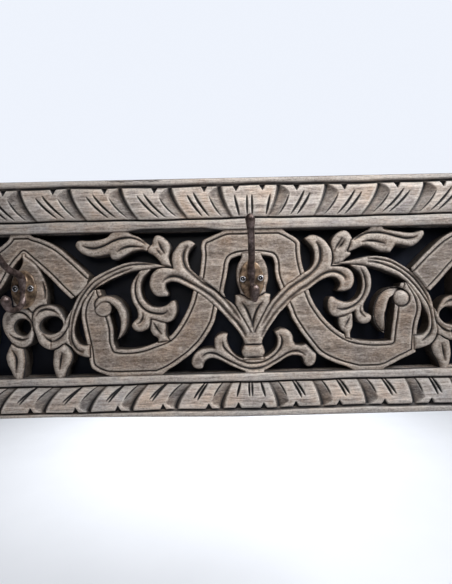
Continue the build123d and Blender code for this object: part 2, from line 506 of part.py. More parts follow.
def knob(out, up, radius, half_length, lean):
    """An egg-shaped end: a half ellipse spun about the prong's axis."""
    centre = (0, -out, up)
    across = (0, -cos(radians(lean)), -sin(radians(lean)))
    along = (0, -sin(radians(lean)), cos(radians(lean)))
    with BuildSketch(Plane(origin=centre, x_dir=(1, 0, 0), z_dir=across)) as section:
        Ellipse(radius, half_length)
        with Locations((-radius, 0)):
            Rectangle(2 * radius, 2 * half_length, mode=Mode.SUBTRACT)
    revolve(section.sketch, axis=Axis(centre, along), revolution_arc=360)


def hook_place(x, z, lean):
    """Where a hook stands on the face of its board, and how far it leans to the left."""
    return Location((x, -SCROLL_FRONT, z), (0, -lean, 0))


def make_hook(x, z, spacing, lean):
    with BuildPart() as hook:
        with BuildSketch(Plane.XZ):
            with Locations((0, -PLATE_DROP)):
                Ellipse(PLATE_WIDTH / 2, PLATE_HEIGHT / 2)
        extrude(amount=PLATE_THICKNESS)
        chamfer(hook.edges().filter_by(GeomType.ELLIPSE).sort_by(Axis.Y)[0], PLATE_CHAMFER)
        prong(UPPER_PRONG, PRONG_RADIUS)
        prong(LOWER_PRONG, PRONG_RADIUS)
        knob(*UPPER_KNOB)
        knob(*LOWER_KNOB)
        split(bisect_by=Plane.XZ, keep=Keep.TOP)
        with BuildSketch(Plane.XZ):
            with Locations((-spacing / 2, 0), (spacing / 2, 0)):
                Circle(SCREW_SHANK_RADIUS)
        extrude(amount=PLATE_THICKNESS, mode=Mode.SUBTRACT)
    hook.part = hook_place(x, z, lean) * hook.part
    return hook


def make_screw(x, z, lean, across):
    """A round-headed wood screw with a round recess in its head, which lies on the plate."""
    with BuildPart() as screw:
        with BuildSketch(Plane.XZ.offset(PLATE_THICKNESS)):
            with Locations((across, 0)):
                Circle(SCREW_HEAD_RADIUS)
        extrude(amount=SCREW_HEAD_HEIGHT)
        rim = screw.edges().filter_by(GeomType.CIRCLE).sort_by(Axis.Y)[0]
        fillet(rim, SCREW_HEAD_ROUNDING)
        with BuildSketch(Plane.XZ.offset(PLATE_THICKNESS - SCREW_LENGTH)):
            with Locations((across, 0)):
                Circle(SCREW_SHANK_RADIUS)
        extrude(amount=SCREW_LENGTH)
        with BuildSketch(Plane.XZ.offset(PLATE_THICKNESS + SCREW_HEAD_HEIGHT - RECESS_DEPTH)):
            with Locations((across, 0)):
                Circle(RECESS_RADIUS)
        extrude(amount=RECESS_DEPTH, mode=Mode.SUBTRACT)
    screw.part = hook_place(x, z, lean) * screw.part
    return screw


pieces = {"top_rail": top_rail, "bottom_rail": bottom_rail, "left_stile": left_stile,
          "right_stile": right_stile, "fret_panel": fret_panel, "backing_board": backing_board,
          "backing_pins": backing_pins}
for side, way in (("left", -1), ("right", 1)):
    pieces[f"{side}_hanger_plate"] = make_hanger(way)
    pieces[f"{side}_hanger_screws"] = make_hanger_screws(way)
for name, (x, z, spacing, lean) in HOOKS.items():
    pieces[f"{name}_hook"] = make_hook(x, z, spacing, lean)
    pieces[f"{name}_hook_screw_a"] = make_screw(x, z, lean, -spacing / 2)
    pieces[f"{name}_hook_screw_b"] = make_screw(x, z, lean, spacing / 2)

# Every fastener cuts its own hole in what it passes through
HOLED_BY = {
    "fret_panel": [name for name in pieces if "hook_screw" in name],
    "backing_board": ["backing_pins"], "top_rail": ["backing_pins", "left_hanger_screws",
                                                    "right_hanger_screws"],
    "bottom_rail": ["backing_pins"],
    "left_hanger_plate": ["left_hanger_screws"], "right_hanger_plate": ["right_hanger_screws"],
}
for name, fasteners in HOLED_BY.items():
    for fastener in fasteners:
        pieces[name].part = pieces[name].part - pieces[fastener].part

for name, piece in pieces.items():
    piece.part.label = name
    export_step(piece.part, f"parts/{name}.step")
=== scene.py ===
"""The looks of a carved wall rack: mesh pieces, materials, light and camera around its CAD frame.

Lengths are in millimetres until a mesh is made, then in metres. X runs along the rack, Z is up,
the wall is the plane Y = 0 and the front faces -Y. "Depth" is the distance from the wall.
"""

import math

import bmesh
import bpy
import numpy as np
from mathutils import Matrix, Vector


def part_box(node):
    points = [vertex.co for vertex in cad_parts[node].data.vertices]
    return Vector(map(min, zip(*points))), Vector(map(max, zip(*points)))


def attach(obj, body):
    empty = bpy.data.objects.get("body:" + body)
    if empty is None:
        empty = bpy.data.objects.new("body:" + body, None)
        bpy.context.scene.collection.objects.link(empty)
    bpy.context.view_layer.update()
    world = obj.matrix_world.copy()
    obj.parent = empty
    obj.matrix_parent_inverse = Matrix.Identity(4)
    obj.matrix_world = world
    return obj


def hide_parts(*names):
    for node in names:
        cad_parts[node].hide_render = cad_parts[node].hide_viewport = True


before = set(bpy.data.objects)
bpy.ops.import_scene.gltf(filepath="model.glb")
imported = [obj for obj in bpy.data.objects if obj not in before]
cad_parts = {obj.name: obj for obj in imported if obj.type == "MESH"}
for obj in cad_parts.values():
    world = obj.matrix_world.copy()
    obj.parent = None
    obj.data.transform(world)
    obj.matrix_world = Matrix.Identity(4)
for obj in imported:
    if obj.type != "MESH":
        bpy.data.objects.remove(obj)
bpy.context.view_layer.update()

MM = 0.001
SEED = 7


def node_box(name):
    """Lowest and highest corner of a CAD node, in millimetres."""
    low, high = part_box(name)
    return np.array(low) / MM, np.array(high) / MM


# Sizes that come from the frame
BACKING_FRONT = -node_box("backing_board")[0][1]
STILE_INNER = node_box("right_stile")[0][0]
HALF_LENGTH = node_box("top_rail")[1][0]
TOP_EDGE = node_box("top_rail")[1][2]
TOP_INNER = node_box("top_rail")[0][2]
BOTTOM_EDGE = node_box("bottom_rail")[0][2]
BOTTOM_INNER = node_box("bottom_rail")[1][2]
RAIL_FRONT = -node_box("top_rail")[0][1]

# The carved board's three levels, and the plane where a rail's plain back meets its carved front
STRAP_FRONT = 28.0
SCROLL_FRONT = 29.0
ARM_FRONT = 30.0
RAIL_SPLIT = 24.0

# Middle of the pattern, and the lines about which the outer bays mirror the inner ones
PATTERN_MIDDLE = 1.0
SIDE_AXIS = -282.0
SIDE_TURN = 2 * PATTERN_MIDDLE - SIDE_AXIS

# Outlines of the carved board, seen from the front as (X, Z). A point marked C is a corner, and
# the others lie on a smooth curve. Each _CUTS list holds the lines of the V cuts on that element.
C = "corner"

# ---- centre motif -------------------------------------------------------------------------
CENTRE_ARCH = [
    (-62, 18, C), (-65, 27.4, C), (-63.4, 36.8), (-62.2, 45.7), (-61.2, 56), (-62, 65), (-59, 73.5),
    (-52.7, 76.7), (-43.8, 80.5), (-36.2, 83.7), (-29, 92, C), (38, 92, C), (46, 82.4), (54, 77.5),
    (60.5, 73), (64.2, 68), (64.6, 58), (65.5, 48), (67, 39), (69.3, 29.8, C), (64, 18, C), (36, 0, C),
    (39.4, 6.4, C), (36.9, 12.7), (33.7, 21.6), (31.8, 31.7), (31.5, 42), (28.7, 49.7), (22.3, 52),
    (10, 53.4), (-8, 53.4), (-17, 52), (-24.5, 48.5), (-27.3, 43), (-28.3, 36.8), (-30.2, 26.7),
    (-32.8, 15.3), (-34.7, 6.4, C), (-32, 0, C)]
CENTRE_BOARD = [
    (-10, 56, C), (14, 56, C), (15.5, 51), (19.5, 44), (22, 36), (22.8, 29), (22.3, 20), (20, 12),
    (19, 4, C), (3, -25, C), (-12, 2, C), (-14.5, 10), (-17, 18), (-18, 28), (-17.5, 35), (-15, 43),
    (-11, 50)]
CENTRE_LEAVES = [
    (-20, 3, C), (-12, 4, C), (3, -2, C), (19, 5.5, C), (26, 3, C), (24.6, -9, C), (14, -28), (4, -52, C),
    (-2, -52, C), (-10, -32), (-20.8, -8, C)]
CENTRE_LEAVES_CUTS = [
    [(-12.5, -5.6), (-9.3, -10), (-5.5, -16.4), (-2.4, -24), (0.2, -31.6), (1, -40)],
    [(16, -6.3), (10.9, -11.3), (7.1, -17.7), (4.6, -24), (2.7, -31.6), (2.1, -44.3)]]
LEFT_ARM = [
    (-8, -63, C), (-10.4, -57), (-15.7, -46.2), (-20.7, -39.2), (-27.1, -31.6), (-34.7, -22.7),
    (-43.5, -13.2), (-56.5, -0.8), (-64.1, 5), (-72.9, 10.4), (-84.3, 16.5), (-90.7, 19.7), (-97, 21.6),
    (-103.3, 21.6), (-107.5, 19), (-107.6, 13.5), (-104.6, 6.5), (-105.9, 3, C), (-115, 2.6),
    (-120.5, 3.8), (-125.5, 8.5), (-129, 16), (-128.7, 24.1), (-126.1, 31.7), (-120.5, 37), (-113, 39.6),
    (-98.5, 38.5, C), (-99.3, 46), (-99.8, 53.3), (-98, 59), (-93.8, 65.3), (-89.4, 70.4), (-84.3, 72.9),
    (-79.3, 74.3), (-74.2, 73.6), (-68.9, 69, C), (-72.5, 65.5), (-76, 61.5), (-78.6, 56), (-79.3, 50),
    (-78.4, 44), (-76, 37.5), (-71.7, 33), (-66, 27.9), (-51.4, 15.9), (-43.8, 10), (-34.9, 0.9),
    (-22, -9.5), (-15, -20), (-8, -32), (1.5, -50, C), (1.5, -63, C)]
LEFT_ARM_CUTS = [
    [(-78.6, 67.2), (-83, 60.9), (-85, 53.3), (-84.3, 45.7), (-81.2, 38), (-75.5, 31.7), (-67.9, 24.8),
    (-59, 17.8), (-48.9, 12.1), (-41.3, 6.4), (-33.4, -3), (-24.5, -13.5), (-18.2, -22.7), (-13, -31)],
    [(-112.8, 20.3), (-109.7, 24.1), (-104.6, 27.3), (-98.3, 28.6), (-91.9, 27.6), (-84.3, 23.9),
    (-69.1, 15.3), (-59, 8.9), (-48.9, 1.3), (-40, -7.5), (-32.4, -16.4), (-25, -24.6), (-17, -34),
    (-10, -45), (-7, -53)]]
RIGHT_ARM = [
    (12, -63, C), (13.9, -56), (17.3, -48.7), (22.3, -40.5), (28.7, -31.6), (36.3, -21.5), (45.2, -13),
    (54.1, -3.5), (62, 1.5), (74.3, 8), (80.7, 13), (87, 17.2), (94.6, 21), (102.2, 23.1), (108.5, 22.2),
    (112.6, 18.5), (113.8, 13), (110.5, 5.2, C), (117.4, 3.9), (123.7, 4.9), (129, 8), (132.3, 13.5),
    (133.3, 20), (132, 26.7), (127.5, 32.4), (121.2, 35.2), (112.3, 36.4), (104, 37, C), (105.3, 44),
    (105.6, 50.7), (104.7, 57.1), (100.9, 64.5), (95.9, 71), (89.5, 75.4), (83.2, 77.6), (76.9, 77.3),
    (70, 73, C), (74.3, 67.8), (78.8, 62.8), (81.6, 56.5), (82.2, 49), (81.5, 42), (79, 36.5), (75, 32.6),
    (69.3, 29.5), (54.1, 19.1), (46.5, 14.5), (33.8, 1.5), (24, -9.5), (17, -21), (10, -34), (1.5, -50, C),
    (1.5, -63, C)]
RIGHT_ARM_CUTS = [
    [(84.5, 69.1), (89.5, 61.5), (90.8, 53.3), (90, 45.2), (85.4, 36), (78, 28.2), (69.3, 21.9),
    (56.6, 14.3), (46.5, 6.7), (37.6, -2.2), (30, -10.5), (23.6, -20), (17.3, -30.5), (12, -39)],
    [(121.5, 16.5), (120.6, 22.9), (116.1, 27.3), (108.5, 29.8), (101.5, 29.3), (94.3, 27), (87, 22.8),
    (79.6, 17.6), (72, 12.5), (63.2, 7.4), (55.6, 1.7), (46.7, -5.3), (39.1, -12.5), (31.5, -20.5),
    (23.5, -31.5), (16.6, -42.3), (12, -53)]]
NECK = [(-9, -44, C), (-10.5, -54), (-10.2, -63, C), (13.8, -63, C), (14, -54), (13, -44, C)]
VASE = [
    (-10, -60.5, C), (-12.6, -65.5), (-13.8, -70), (-12.8, -74), (-11.5, -76.5), (-11.5, -81, C),
    (15.5, -81, C), (15.2, -76), (16.9, -71.5), (16, -66), (13.4, -60.5, C)]
VASE_CUTS = [[(-15, -77), (2, -77.6), (18, -77)]]
BASE_SCROLL = [
    (-30.1, -46.2, C), (-36, -45), (-43.5, -47.4), (-48, -52.5), (-48.3, -64.3, C), (-56.5, -63.9),
    (-63, -64.6), (-69.1, -67.1), (-74.2, -71.5), (-77.4, -77.2), (-78, -84), (-74.5, -89), (-68, -91.2),
    (-63.2, -89.5), (-60.5, -82.5), (-56, -78.6), (-49.9, -77.5), (-39.7, -81), (-29.6, -86.7),
    (-18.2, -91.5), (-10, -96, C), (-9, -103, C), (15, -103, C), (16, -95, C), (26.1, -89.2),
    (36.3, -83.5), (43, -79.3), (50.3, -76.6), (57.9, -76.6), (63.8, -79), (66, -86), (69.3, -90.5),
    (75, -91), (80.3, -87), (82.4, -81), (82, -75), (78.1, -70.9), (73.5, -65.8), (69.5, -61.6, C),
    (63, -63), (56, -62.3, C), (53.5, -57), (53, -51.5), (49.5, -45.5), (44, -41.8), (37, -41.2),
    (29, -45.5, C), (32.2, -51.9), (33.1, -58.2), (31.2, -65.8), (27.4, -70.9), (22.3, -75), (14, -78.6),
    (2, -80), (-12, -78.6), (-17, -77), (-22, -73.4), (-27.1, -67.1), (-30.2, -59.5), (-31.1, -51.9)]
BASE_CUTS = [
    [(-37.8, -55), (-36.6, -62), (-33.4, -67.1), (-27.1, -73.4), (-18.2, -80), (-6.8, -84.5), (0.8, -85.4),
    (10.9, -84.8), (22.3, -80.4), (31.2, -73.4), (36.9, -65.8), (38.8, -59.5), (38.2, -53.1),
    (33.7, -46.8)],
    [(-65, -75.5), (-59, -71.5), (-52.7, -70.6), (-44.8, -72.8), (-34.7, -78.5), (-24.5, -84.2),
    (-15.7, -88.6), (-5.5, -91.8), (5.9, -92.1), (16, -89.9), (28.7, -83.5), (38.8, -77.5), (47.7, -72.6),
    (57.9, -71.1), (64.2, -73.4), (68.6, -77.2)]]

# ---- bay on the left of the centre ------------------------------------------------------------
LEFT_STRAP = [
    (-205, 13, C), (-213.5, -3), (-216.2, -18), (-214.5, -32), (-212.4, -43), (-208.6, -62),
    (-206.7, -79.7), (-204.2, -86.5, C), (-196, -91.5), (-185.8, -95.5), (-170, -103, C), (-122, -103, C),
    (-107.8, -90.9), (-98.3, -85.4), (-88.1, -78.5), (-79.3, -72.1), (-70.4, -63.9), (-64.1, -57.6),
    (-59, -50.6), (-53.9, -43), (-48.9, -34.1), (-46.3, -27.8), (-44.8, -21.5), (-42.8, -13, C),
    (-50, 2, C), (-70, 16, C), (-73.2, 8.6), (-76.7, -3.7), (-80.5, -12.6), (-85.6, -22.7), (-91.9, -32.9),
    (-98.3, -41.7), (-106, -49.2), (-116, -53.5), (-124.9, -56.6), (-137, -60.6), (-151, -63),
    (-163, -63.3), (-173, -62, C), (-175.9, -53), (-176.2, -38), (-180, -21.5), (-186, -4), (-192, 14, C)]
LEFT_VINE = [
    (-101, 41, C), (-112, 43.2), (-125, 45.9), (-147, 48.3), (-159.2, 46.9), (-175.7, 41.2),
    (-190.9, 34.3), (-203.5, 26.7), (-213, 16), (-221, 6), (-227, -6), (-231.5, -20), (-233.5, -35),
    (-233.5, -49), (-230, -60), (-223, -68), (-214, -72), (-206, -73, C), (-206, -56, C), (-212, -56),
    (-218.5, -54.4), (-225, -46), (-226.5, -36), (-223.5, -24), (-219.2, -14), (-212.4, 0), (-201, 13.5),
    (-188.3, 21.6), (-169.3, 30.5), (-154, 35.3), (-143, 37), (-130, 38.3), (-115, 40, C)]
LEFT_VINE_CUTS = [
    [(-122, 43.2), (-140, 45), (-157, 43.5), (-174, 37.8), (-190, 30.3), (-203, 21.5), (-213.5, 9),
    (-221.5, -5), (-227.5, -21), (-230.5, -37), (-229.5, -51), (-224, -61), (-214, -66.5)],
    [(-150, 40.2), (-167, 35.2), (-185, 27), (-199, 18.2), (-210, 6)]]
LEFT_TENDRIL = [
    (-140, 38, C), (-147, 29), (-152, 20), (-153.5, 8.9), (-151, -3.7), (-145.8, -14), (-145.6, -23),
    (-151, -28.5), (-153.3, -33), (-151, -38), (-146.5, -41), (-139, -41.2), (-132, -37.5), (-128.9, -31),
    (-128.3, -25.5, C), (-121, -27.2), (-114.7, -29.7), (-109, -30.6), (-103.3, -29.7), (-98.9, -26.5),
    (-95.7, -21.5), (-94.2, -15.1), (-94.4, -9), (-96, -4), (-98.5, -1.8), (-102.1, -3.1), (-107.1, -6.9),
    (-113.5, -9.4), (-119.8, -10), (-126.1, -8.8), (-132, -5), (-137, 1), (-139.5, 10), (-139.6, 19),
    (-136.5, 27), (-131, 33), (-125, 40, C)]
LEFT_TENDRIL_CUTS = [
    [(-141, 33), (-146.5, 22), (-147.5, 10), (-144.5, -2), (-138, -11), (-131, -16), (-124.9, -18),
    (-118.5, -18.9), (-112.2, -18.7), (-105.2, -15.1)],
    [(-139, -15), (-138.5, -22), (-142, -29), (-147, -32)]]
LEFT_CRESCENT = [
    (-198.8, -11, C), (-199.2, -3), (-194.5, 3.6), (-186, 6.4), (-178, 6), (-169, 1.8), (-161.7, -6.3),
    (-157.6, -15), (-156.9, -25), (-159.2, -36.7), (-163.5, -44.5), (-171.2, -50.5, C), (-168, -43),
    (-166.6, -35), (-166.4, -26.5), (-169, -16), (-174, -8), (-181, -2.4), (-187.5, -1.8), (-193.5, -4.8)]
LEFT_EYE = (-188.3, -10, 10.6)
LEFT_BUD = [
    (-128.3, -24, C), (-129.9, -34), (-129.3, -41), (-126, -46.5), (-121, -50), (-120, -56, C),
    (-103, -54, C), (-108, -47), (-109, -42), (-108.4, -36), (-109, -27, C)]
LEFT_BUD_CUTS = [[(-125.5, -29), (-120.5, -38), (-114.5, -46)]]
LEFT_TREFOIL = [
    (-98.4, 39, C), (-101.2, 47), (-102.8, 54), (-101.3, 60.5), (-100.6, 66), (-102, 71), (-105.9, 75.8),
    (-110.9, 80.1), (-116, 82.1), (-120.4, 81.2), (-123.5, 77), (-125.1, 70.4, C), (-129.9, 68.3),
    (-132.7, 64), (-130, 59.6), (-123, 55.4), (-116, 47.6), (-112.8, 41, C)]
LEFT_TREFOIL_CUTS = [
    [(-116.9, 74.8), (-113.5, 66), (-107.8, 56.4)],
    [(-120, 65.3), (-117, 60.5), (-112.5, 55)]]
LEFT_TAIL = [
    (-222.5, 71), (-220, 76), (-214, 77.3), (-204.8, 76.7), (-188.3, 78.6), (-180, 82.5), (-174, 92, C),
    (-157, 92, C), (-150, 83.5), (-142, 80), (-134, 74), (-127, 69, C), (-131, 61.5, C), (-139, 63),
    (-149, 61.5), (-159, 55.8), (-169.3, 50.9), (-176, 52), (-180, 57.8, C), (-190.9, 55.8),
    (-203.5, 55.8), (-213.7, 59.6), (-219.5, 65)]
LEFT_TAIL_CUTS = [
    [(-214, 70), (-206, 67.3), (-197, 66.6), (-184.5, 70.4), (-174.4, 75.4), (-159, 79.2), (-148, 78.4),
    (-139, 74.3), (-131, 68.5)],
    [(-169.3, 61), (-163, 65.3), (-154, 67.8), (-141.5, 67.2), (-134, 66)]]

# ---- bay on the right of the centre -----------------------------------------------------------
RIGHT_STRAP = [
    (206, 14, C), (215.5, -3), (218.7, -17.7), (217.4, -27.8), (214.2, -37.9), (212.3, -48.1),
    (211.1, -60), (209.8, -75.9, C), (200.9, -80.4), (190.8, -84.8), (180.7, -89.9), (171.8, -94.3),
    (161, -103, C), (137, -103, C), (121.2, -92.4), (108.5, -88), (95.9, -82.3), (85.5, -75.5),
    (78.1, -67), (71.8, -58.5), (64.2, -48.1), (57.9, -37.9), (52.2, -27.8), (49, -18.5), (45.6, -10, C),
    (52, 4, C), (70, 14, C), (73.9, 7.4), (76.9, -1.2), (80.7, -10), (87, -20.2), (93.3, -29.1),
    (100.9, -37.5), (108.5, -44.3), (118.7, -51.4), (126.3, -55.3), (135.1, -58), (144.9, -59.6),
    (155.3, -60.7), (168, -60.9), (178.1, -60.1, C), (179.4, -50.6), (180.7, -40.5), (182.6, -30.3),
    (184, -20), (188, -2), (193, 13, C)]
RIGHT_VINE = [
    (106, 40, C), (121.2, 42.5), (136.4, 46.3), (149, 48.6), (161.7, 48.8), (171.8, 47.6), (180.7, 45),
    (189.5, 40.6), (198.4, 34.9), (207.3, 28.7), (214.9, 21), (222.5, 11.5), (228.8, 1.8), (233, -8),
    (235.6, -20), (237.5, -32), (239.4, -42), (240, -49.3), (237.7, -56.9), (233.9, -63), (228.8, -67.3),
    (220, -70.8), (208, -73, C), (208, -54, C), (214, -54), (219, -53.1), (223.9, -50.5), (227.7, -45),
    (229.4, -37.9), (228.2, -30.3), (225, -22.7), (220.6, -15), (211.1, 1.3), (204.7, 10.2), (197.1, 17.8),
    (189.5, 22.9), (180.7, 26.7), (170.5, 30.9), (159.1, 34.3), (150.3, 35.8), (138, 37.5), (122, 39, C)]
RIGHT_VINE_CUTS = [
    [(150, 41.5), (162, 40.8), (178, 35.5), (193.3, 27.9), (201.5, 21.2), (209, 13.6), (216.4, 4.6),
    (223, -4.5), (228.8, -15.1), (232.4, -27.8), (233.3, -42), (230.1, -51.9), (223.7, -58.2),
    (217.4, -62)],
    [(150, 45.6), (166, 44.6), (183, 39.8), (198, 30.8), (210, 20.8), (220, 8.5), (227.5, -4),
    (231.5, -15)]]
RIGHT_TENDRIL = [
    (125, 40, C), (132.5, 34), (140.1, 27.9), (143.9, 20.3), (144.2, 11.5), (142, 2.6), (137.6, -4.2),
    (131.3, -8), (123.7, -9.4), (117.4, -8.2), (111.1, -5.6), (106, -2.2), (102.2, -1.8), (99, -5.6),
    (97.8, -11.3), (98.4, -17.7), (100.9, -24), (106, -27.8), (112.3, -28.8), (118.7, -27.8), (126.3, -25),
    (133.2, -22, C), (133.6, -28), (136.3, -34.1), (141.4, -37.9), (147.7, -38.2), (152.4, -35.8),
    (154.7, -31.6), (154.1, -27.5), (150.4, -24.8), (146.2, -22.3), (144.9, -17.7), (145.6, -12.6),
    (149, -6.3), (152.8, 0.1), (155.3, 7.7), (156, 16.5), (154.7, 25.4), (151, 33), (147, 40, C)]
RIGHT_TENDRIL_CUTS = [
    [(140.8, 34.3), (145.8, 26.7), (148.4, 17.8), (148.4, 8.9), (145.8, 0.1), (141, -7.5), (133.9, -13.5),
    (125, -17.7), (116.1, -18.9), (108.5, -17)],
    [(141.6, -13.9), (140.2, -20.2), (142.7, -25.9), (147, -30)]]
RIGHT_CRESCENT = [
    (204, -4, C), (199, 3), (192, 7.7), (184.5, 8.6), (176.9, 7), (169.3, 2.6), (163.6, -5),
    (159.8, -13.9), (157.9, -24), (158.9, -32.9), (161.7, -40.5), (166.7, -46.8), (171.2, -50.9, C),
    (171.5, -44.3), (170.9, -36.7), (171, -26.5), (173.1, -18.9), (175.8, -10), (179.3, -3.9),
    (186, -1, C)]
RIGHT_EYE = (193.7, -6.5, 10.8)
RIGHT_BUD = [
    (111.1, -26, C), (111.2, -34), (112.2, -40), (114.5, -45.5), (118.7, -49.3), (120, -56, C),
    (128, -58, C), (127.5, -49), (129.9, -43.5), (131, -37), (130.9, -30), (130, -20, C)]
RIGHT_BUD_CUTS = [[(126.9, -27.8), (123.7, -34.8), (119, -43)]]
RIGHT_TREFOIL = [
    (103, 36, C), (106, 45), (106, 52.5), (104.5, 60.9), (104.1, 67.2), (106.6, 73.5), (111.1, 78.6),
    (117.4, 82.3), (123.1, 83.2), (128, 80.3), (131.2, 76), (132.7, 71), (131.3, 65.3), (125.6, 56.8, C),
    (130.3, 53.9), (129.6, 50.3), (125, 46.7), (121.2, 43), (119, 38, C)]
RIGHT_TREFOIL_CUTS = [
    [(119.3, 73.5), (114.9, 65.9), (110.4, 59.6), (107.8, 54)],
    [(122.5, 71), (118.7, 64.7), (112.3, 58.3)]]
RIGHT_TAIL = [
    (223.7, 80.2), (225.4, 76.1), (223.1, 71), (218.7, 65.9), (213.6, 61.7), (208.5, 59.6), (202.2, 60.2),
    (194.6, 62), (188, 62, C), (183.2, 55.8), (180.7, 52.4, C), (175.6, 53), (168, 54), (161.7, 56.6),
    (155.3, 60.2), (149, 61.7), (142.7, 60.4), (136.3, 57.7), (126, 54, C), (130, 69.5, C), (137.6, 73.8),
    (145.2, 78.6), (152.8, 82.6), (157, 92, C), (171, 92, C), (174.3, 84), (180.7, 82.2), (189.5, 80.3),
    (198.4, 78.8), (206, 77.8), (212.3, 78.2), (218.7, 80)]
RIGHT_TAIL_CUTS = [
    [(133, 68.5), (142.7, 74.8), (151.5, 78.3), (162.9, 78.9), (174.3, 77.6), (183.2, 75.4), (193.3, 72.3),
    (203.5, 70.4), (211.1, 71.3), (216.1, 73.5)],
    [(142.7, 66.6), (151.5, 68.2), (161.7, 67.8), (170.5, 65.3), (175, 63.1)]]

# ---- side motif, as it stands on the left --------------------------------------------------------
SIDE_ARCH = [
    (-205, 32.4, C), (-222.3, 49.5), (-241.3, 66.6), (-251.5, 73.5), (-266.7, 80.5), (-276, 83.5),
    (-280, 92, C), (-303, 92, C), (-306, 80.5), (-313.5, 73.5), (-322.7, 66.6), (-341.7, 49.5),
    (-359, 32.4, C), (-352, 14, C), (-335.3, 2.6, C), (-322.7, 13.5), (-316, 19.5), (-300, 46.3),
    (-287.6, 60.2, C), (-257.8, 33), (-241.3, 15.3), (-228.7, 2.6, C), (-212, 14, C)]
SIDE_BOARD = [
    (-289.5, 61, C), (-285.5, 61, C), (-286.3, 58, C), (-277, 51.5), (-269.2, 43), (-262.9, 30.5),
    (-259.7, 19), (-259, 3), (-262, -12, C), (-300, -12, C), (-301.5, -3), (-303.4, 8.9), (-302.8, 29.2),
    (-293.3, 41.9), (-289, 50)]
SIDE_BOARD_CUTS = [[(-264.5, 27), (-262.5, 15), (-261.8, 2.6)]]
SIDE_RING_OUT = [
    (-294, -4), (-307, -7), (-316, -15), (-317.8, -30), (-311, -46), (-299.6, -57), (-289, -58),
    (-281, -53), (-277.4, -44), (-277, -30), (-279, -14), (-285, -6)]
SIDE_RING_HOLE = (-292, -32, 10, 10.5, 0)
SIDE_RING_CUTS = [
    [(-306, -16), (-296, -12.5), (-287, -16.4), (-280.6, -26.5), (-277.2, -38)],
    [(-309, -38), (-304.7, -43.5), (-293.3, -48), (-282.5, -45.5)]]
SIDE_SCROLL_OUT = [
    (-259, -3.5), (-270, -5.5), (-278, -13), (-279, -28), (-275.5, -42), (-271, -54), (-259, -61.8),
    (-247.7, -60.4), (-238.8, -52), (-235.5, -40), (-236, -28), (-240.5, -16), (-248, -7)]
SIDE_SCROLL_HOLE = (-255.3, -30.3, 14.6, 11, 12)
SIDE_SCROLL_CUTS = [
    [(-275.5, -20), (-270.5, -13), (-261.6, -9.8), (-252, -12), (-243.5, -18)],
    [(-268, -40), (-260, -48.3), (-252.5, -51), (-245.5, -47.5), (-239.5, -38)]]
SIDE_WEB = [
    (-229, -11, C), (-233, -18), (-237.5, -25, C), (-239.3, -33), (-242.5, -39.8), (-248.2, -44.3),
    (-256, -46.5, C), (-256, -60, C), (-247.7, -59), (-240, -54.5), (-236, -53.5), (-231, -58, C),
    (-228, -40), (-227.5, -24)]
SIDE_WEB_CUTS = [
    [(-228.5, -12), (-231.3, -23), (-234.3, -32), (-239.2, -40.3), (-245.5, -47), (-252.5, -50.6),
    (-260, -50)]]
SIDE_LEAF_A = [
    (-306, -50, C), (-293, -52, C), (-289.5, -66), (-288.8, -76), (-290.5, -87), (-293, -103, C),
    (-302, -103, C), (-308, -88), (-313, -77), (-314, -68), (-311, -60)]
SIDE_LEAF_A_CUTS = [[(-306, -59), (-300.9, -69.6), (-300.5, -80), (-301.5, -90)]]
SIDE_LEAF_B = [
    (-251.5, -56, C), (-240, -50, C), (-231.5, -62), (-228.7, -70), (-231, -79), (-236, -88),
    (-240, -103, C), (-249, -103, C), (-253, -90), (-254.8, -79.7), (-254, -68)]
SIDE_LEAF_B_CUTS = [[(-241.3, -64), (-244.2, -74.7), (-245.6, -88.6)]]
# A small leaf that ties the tail leaf to the vine against each end stile
END_LEAF = [(-420, 40, C), (-408, 45), (-402, 51), (-405, 58), (-420, 67, C)]

# ---- curves and distances ---------------------------------------------------------------------

CURVE_STEPS = 6
ELLIPSE_POINTS = 49
TINY = 1e-9
FAR = 1e9


def curve_span(before, start, end, after):
    """Points on one centripetal Catmull-Rom span, without its end point."""
    least = 1e-6
    knots = [0.0]
    for a, b in ((before, start), (start, end), (end, after)):
        knots.append(knots[-1] + math.sqrt(max(math.dist(a, b), least)))
    t0, t1, t2, t3 = knots
    t = np.linspace(t1, t2, CURVE_STEPS, endpoint=False)[:, None]
    a1 = (t1 - t) / (t1 - t0) * before + (t - t0) / (t1 - t0) * start
    a2 = (t2 - t) / (t2 - t1) * start + (t - t1) / (t2 - t1) * end
    a3 = (t3 - t) / (t3 - t2) * end + (t - t2) / (t3 - t2) * after
    b1 = (t2 - t) / (t2 - t0) * a1 + (t - t0) / (t2 - t0) * a2
    b2 = (t3 - t) / (t3 - t1) * a2 + (t - t1) / (t3 - t1) * a3
    return (t2 - t) / (t2 - t1) * b1 + (t - t1) / (t2 - t1) * b2


def smooth_line(points):
    """A smooth line through points with any number of values each, from the first to the last."""
    p = np.array(points, float)
    led = np.vstack([2 * p[0] - p[1], p, 2 * p[-1] - p[-2]])
    return np.vstack([curve_span(*led[i:i + 4]) for i in range(len(p) - 1)] + [p[-1:]])


def open_curve(points):
    """The line through a run of an outline or a cut, straight if it has only two points."""
    flat = [point[:2] for point in points]
    return np.array(flat, float) if len(flat) == 2 else smooth_line(flat)


def outline_runs(points):
    """An outline cut at its corners into runs that share their end points."""
    corners = [i for i, point in enumerate(points) if len(point) > 2]
    turned = points[corners[0]:] + points[:corners[0] + 1]
    found, run = [], [turned[0]]
    for point in turned[1:]:
        run.append(point)
        if len(point) > 2:
            found.append(run)
            run = [point]
    return found


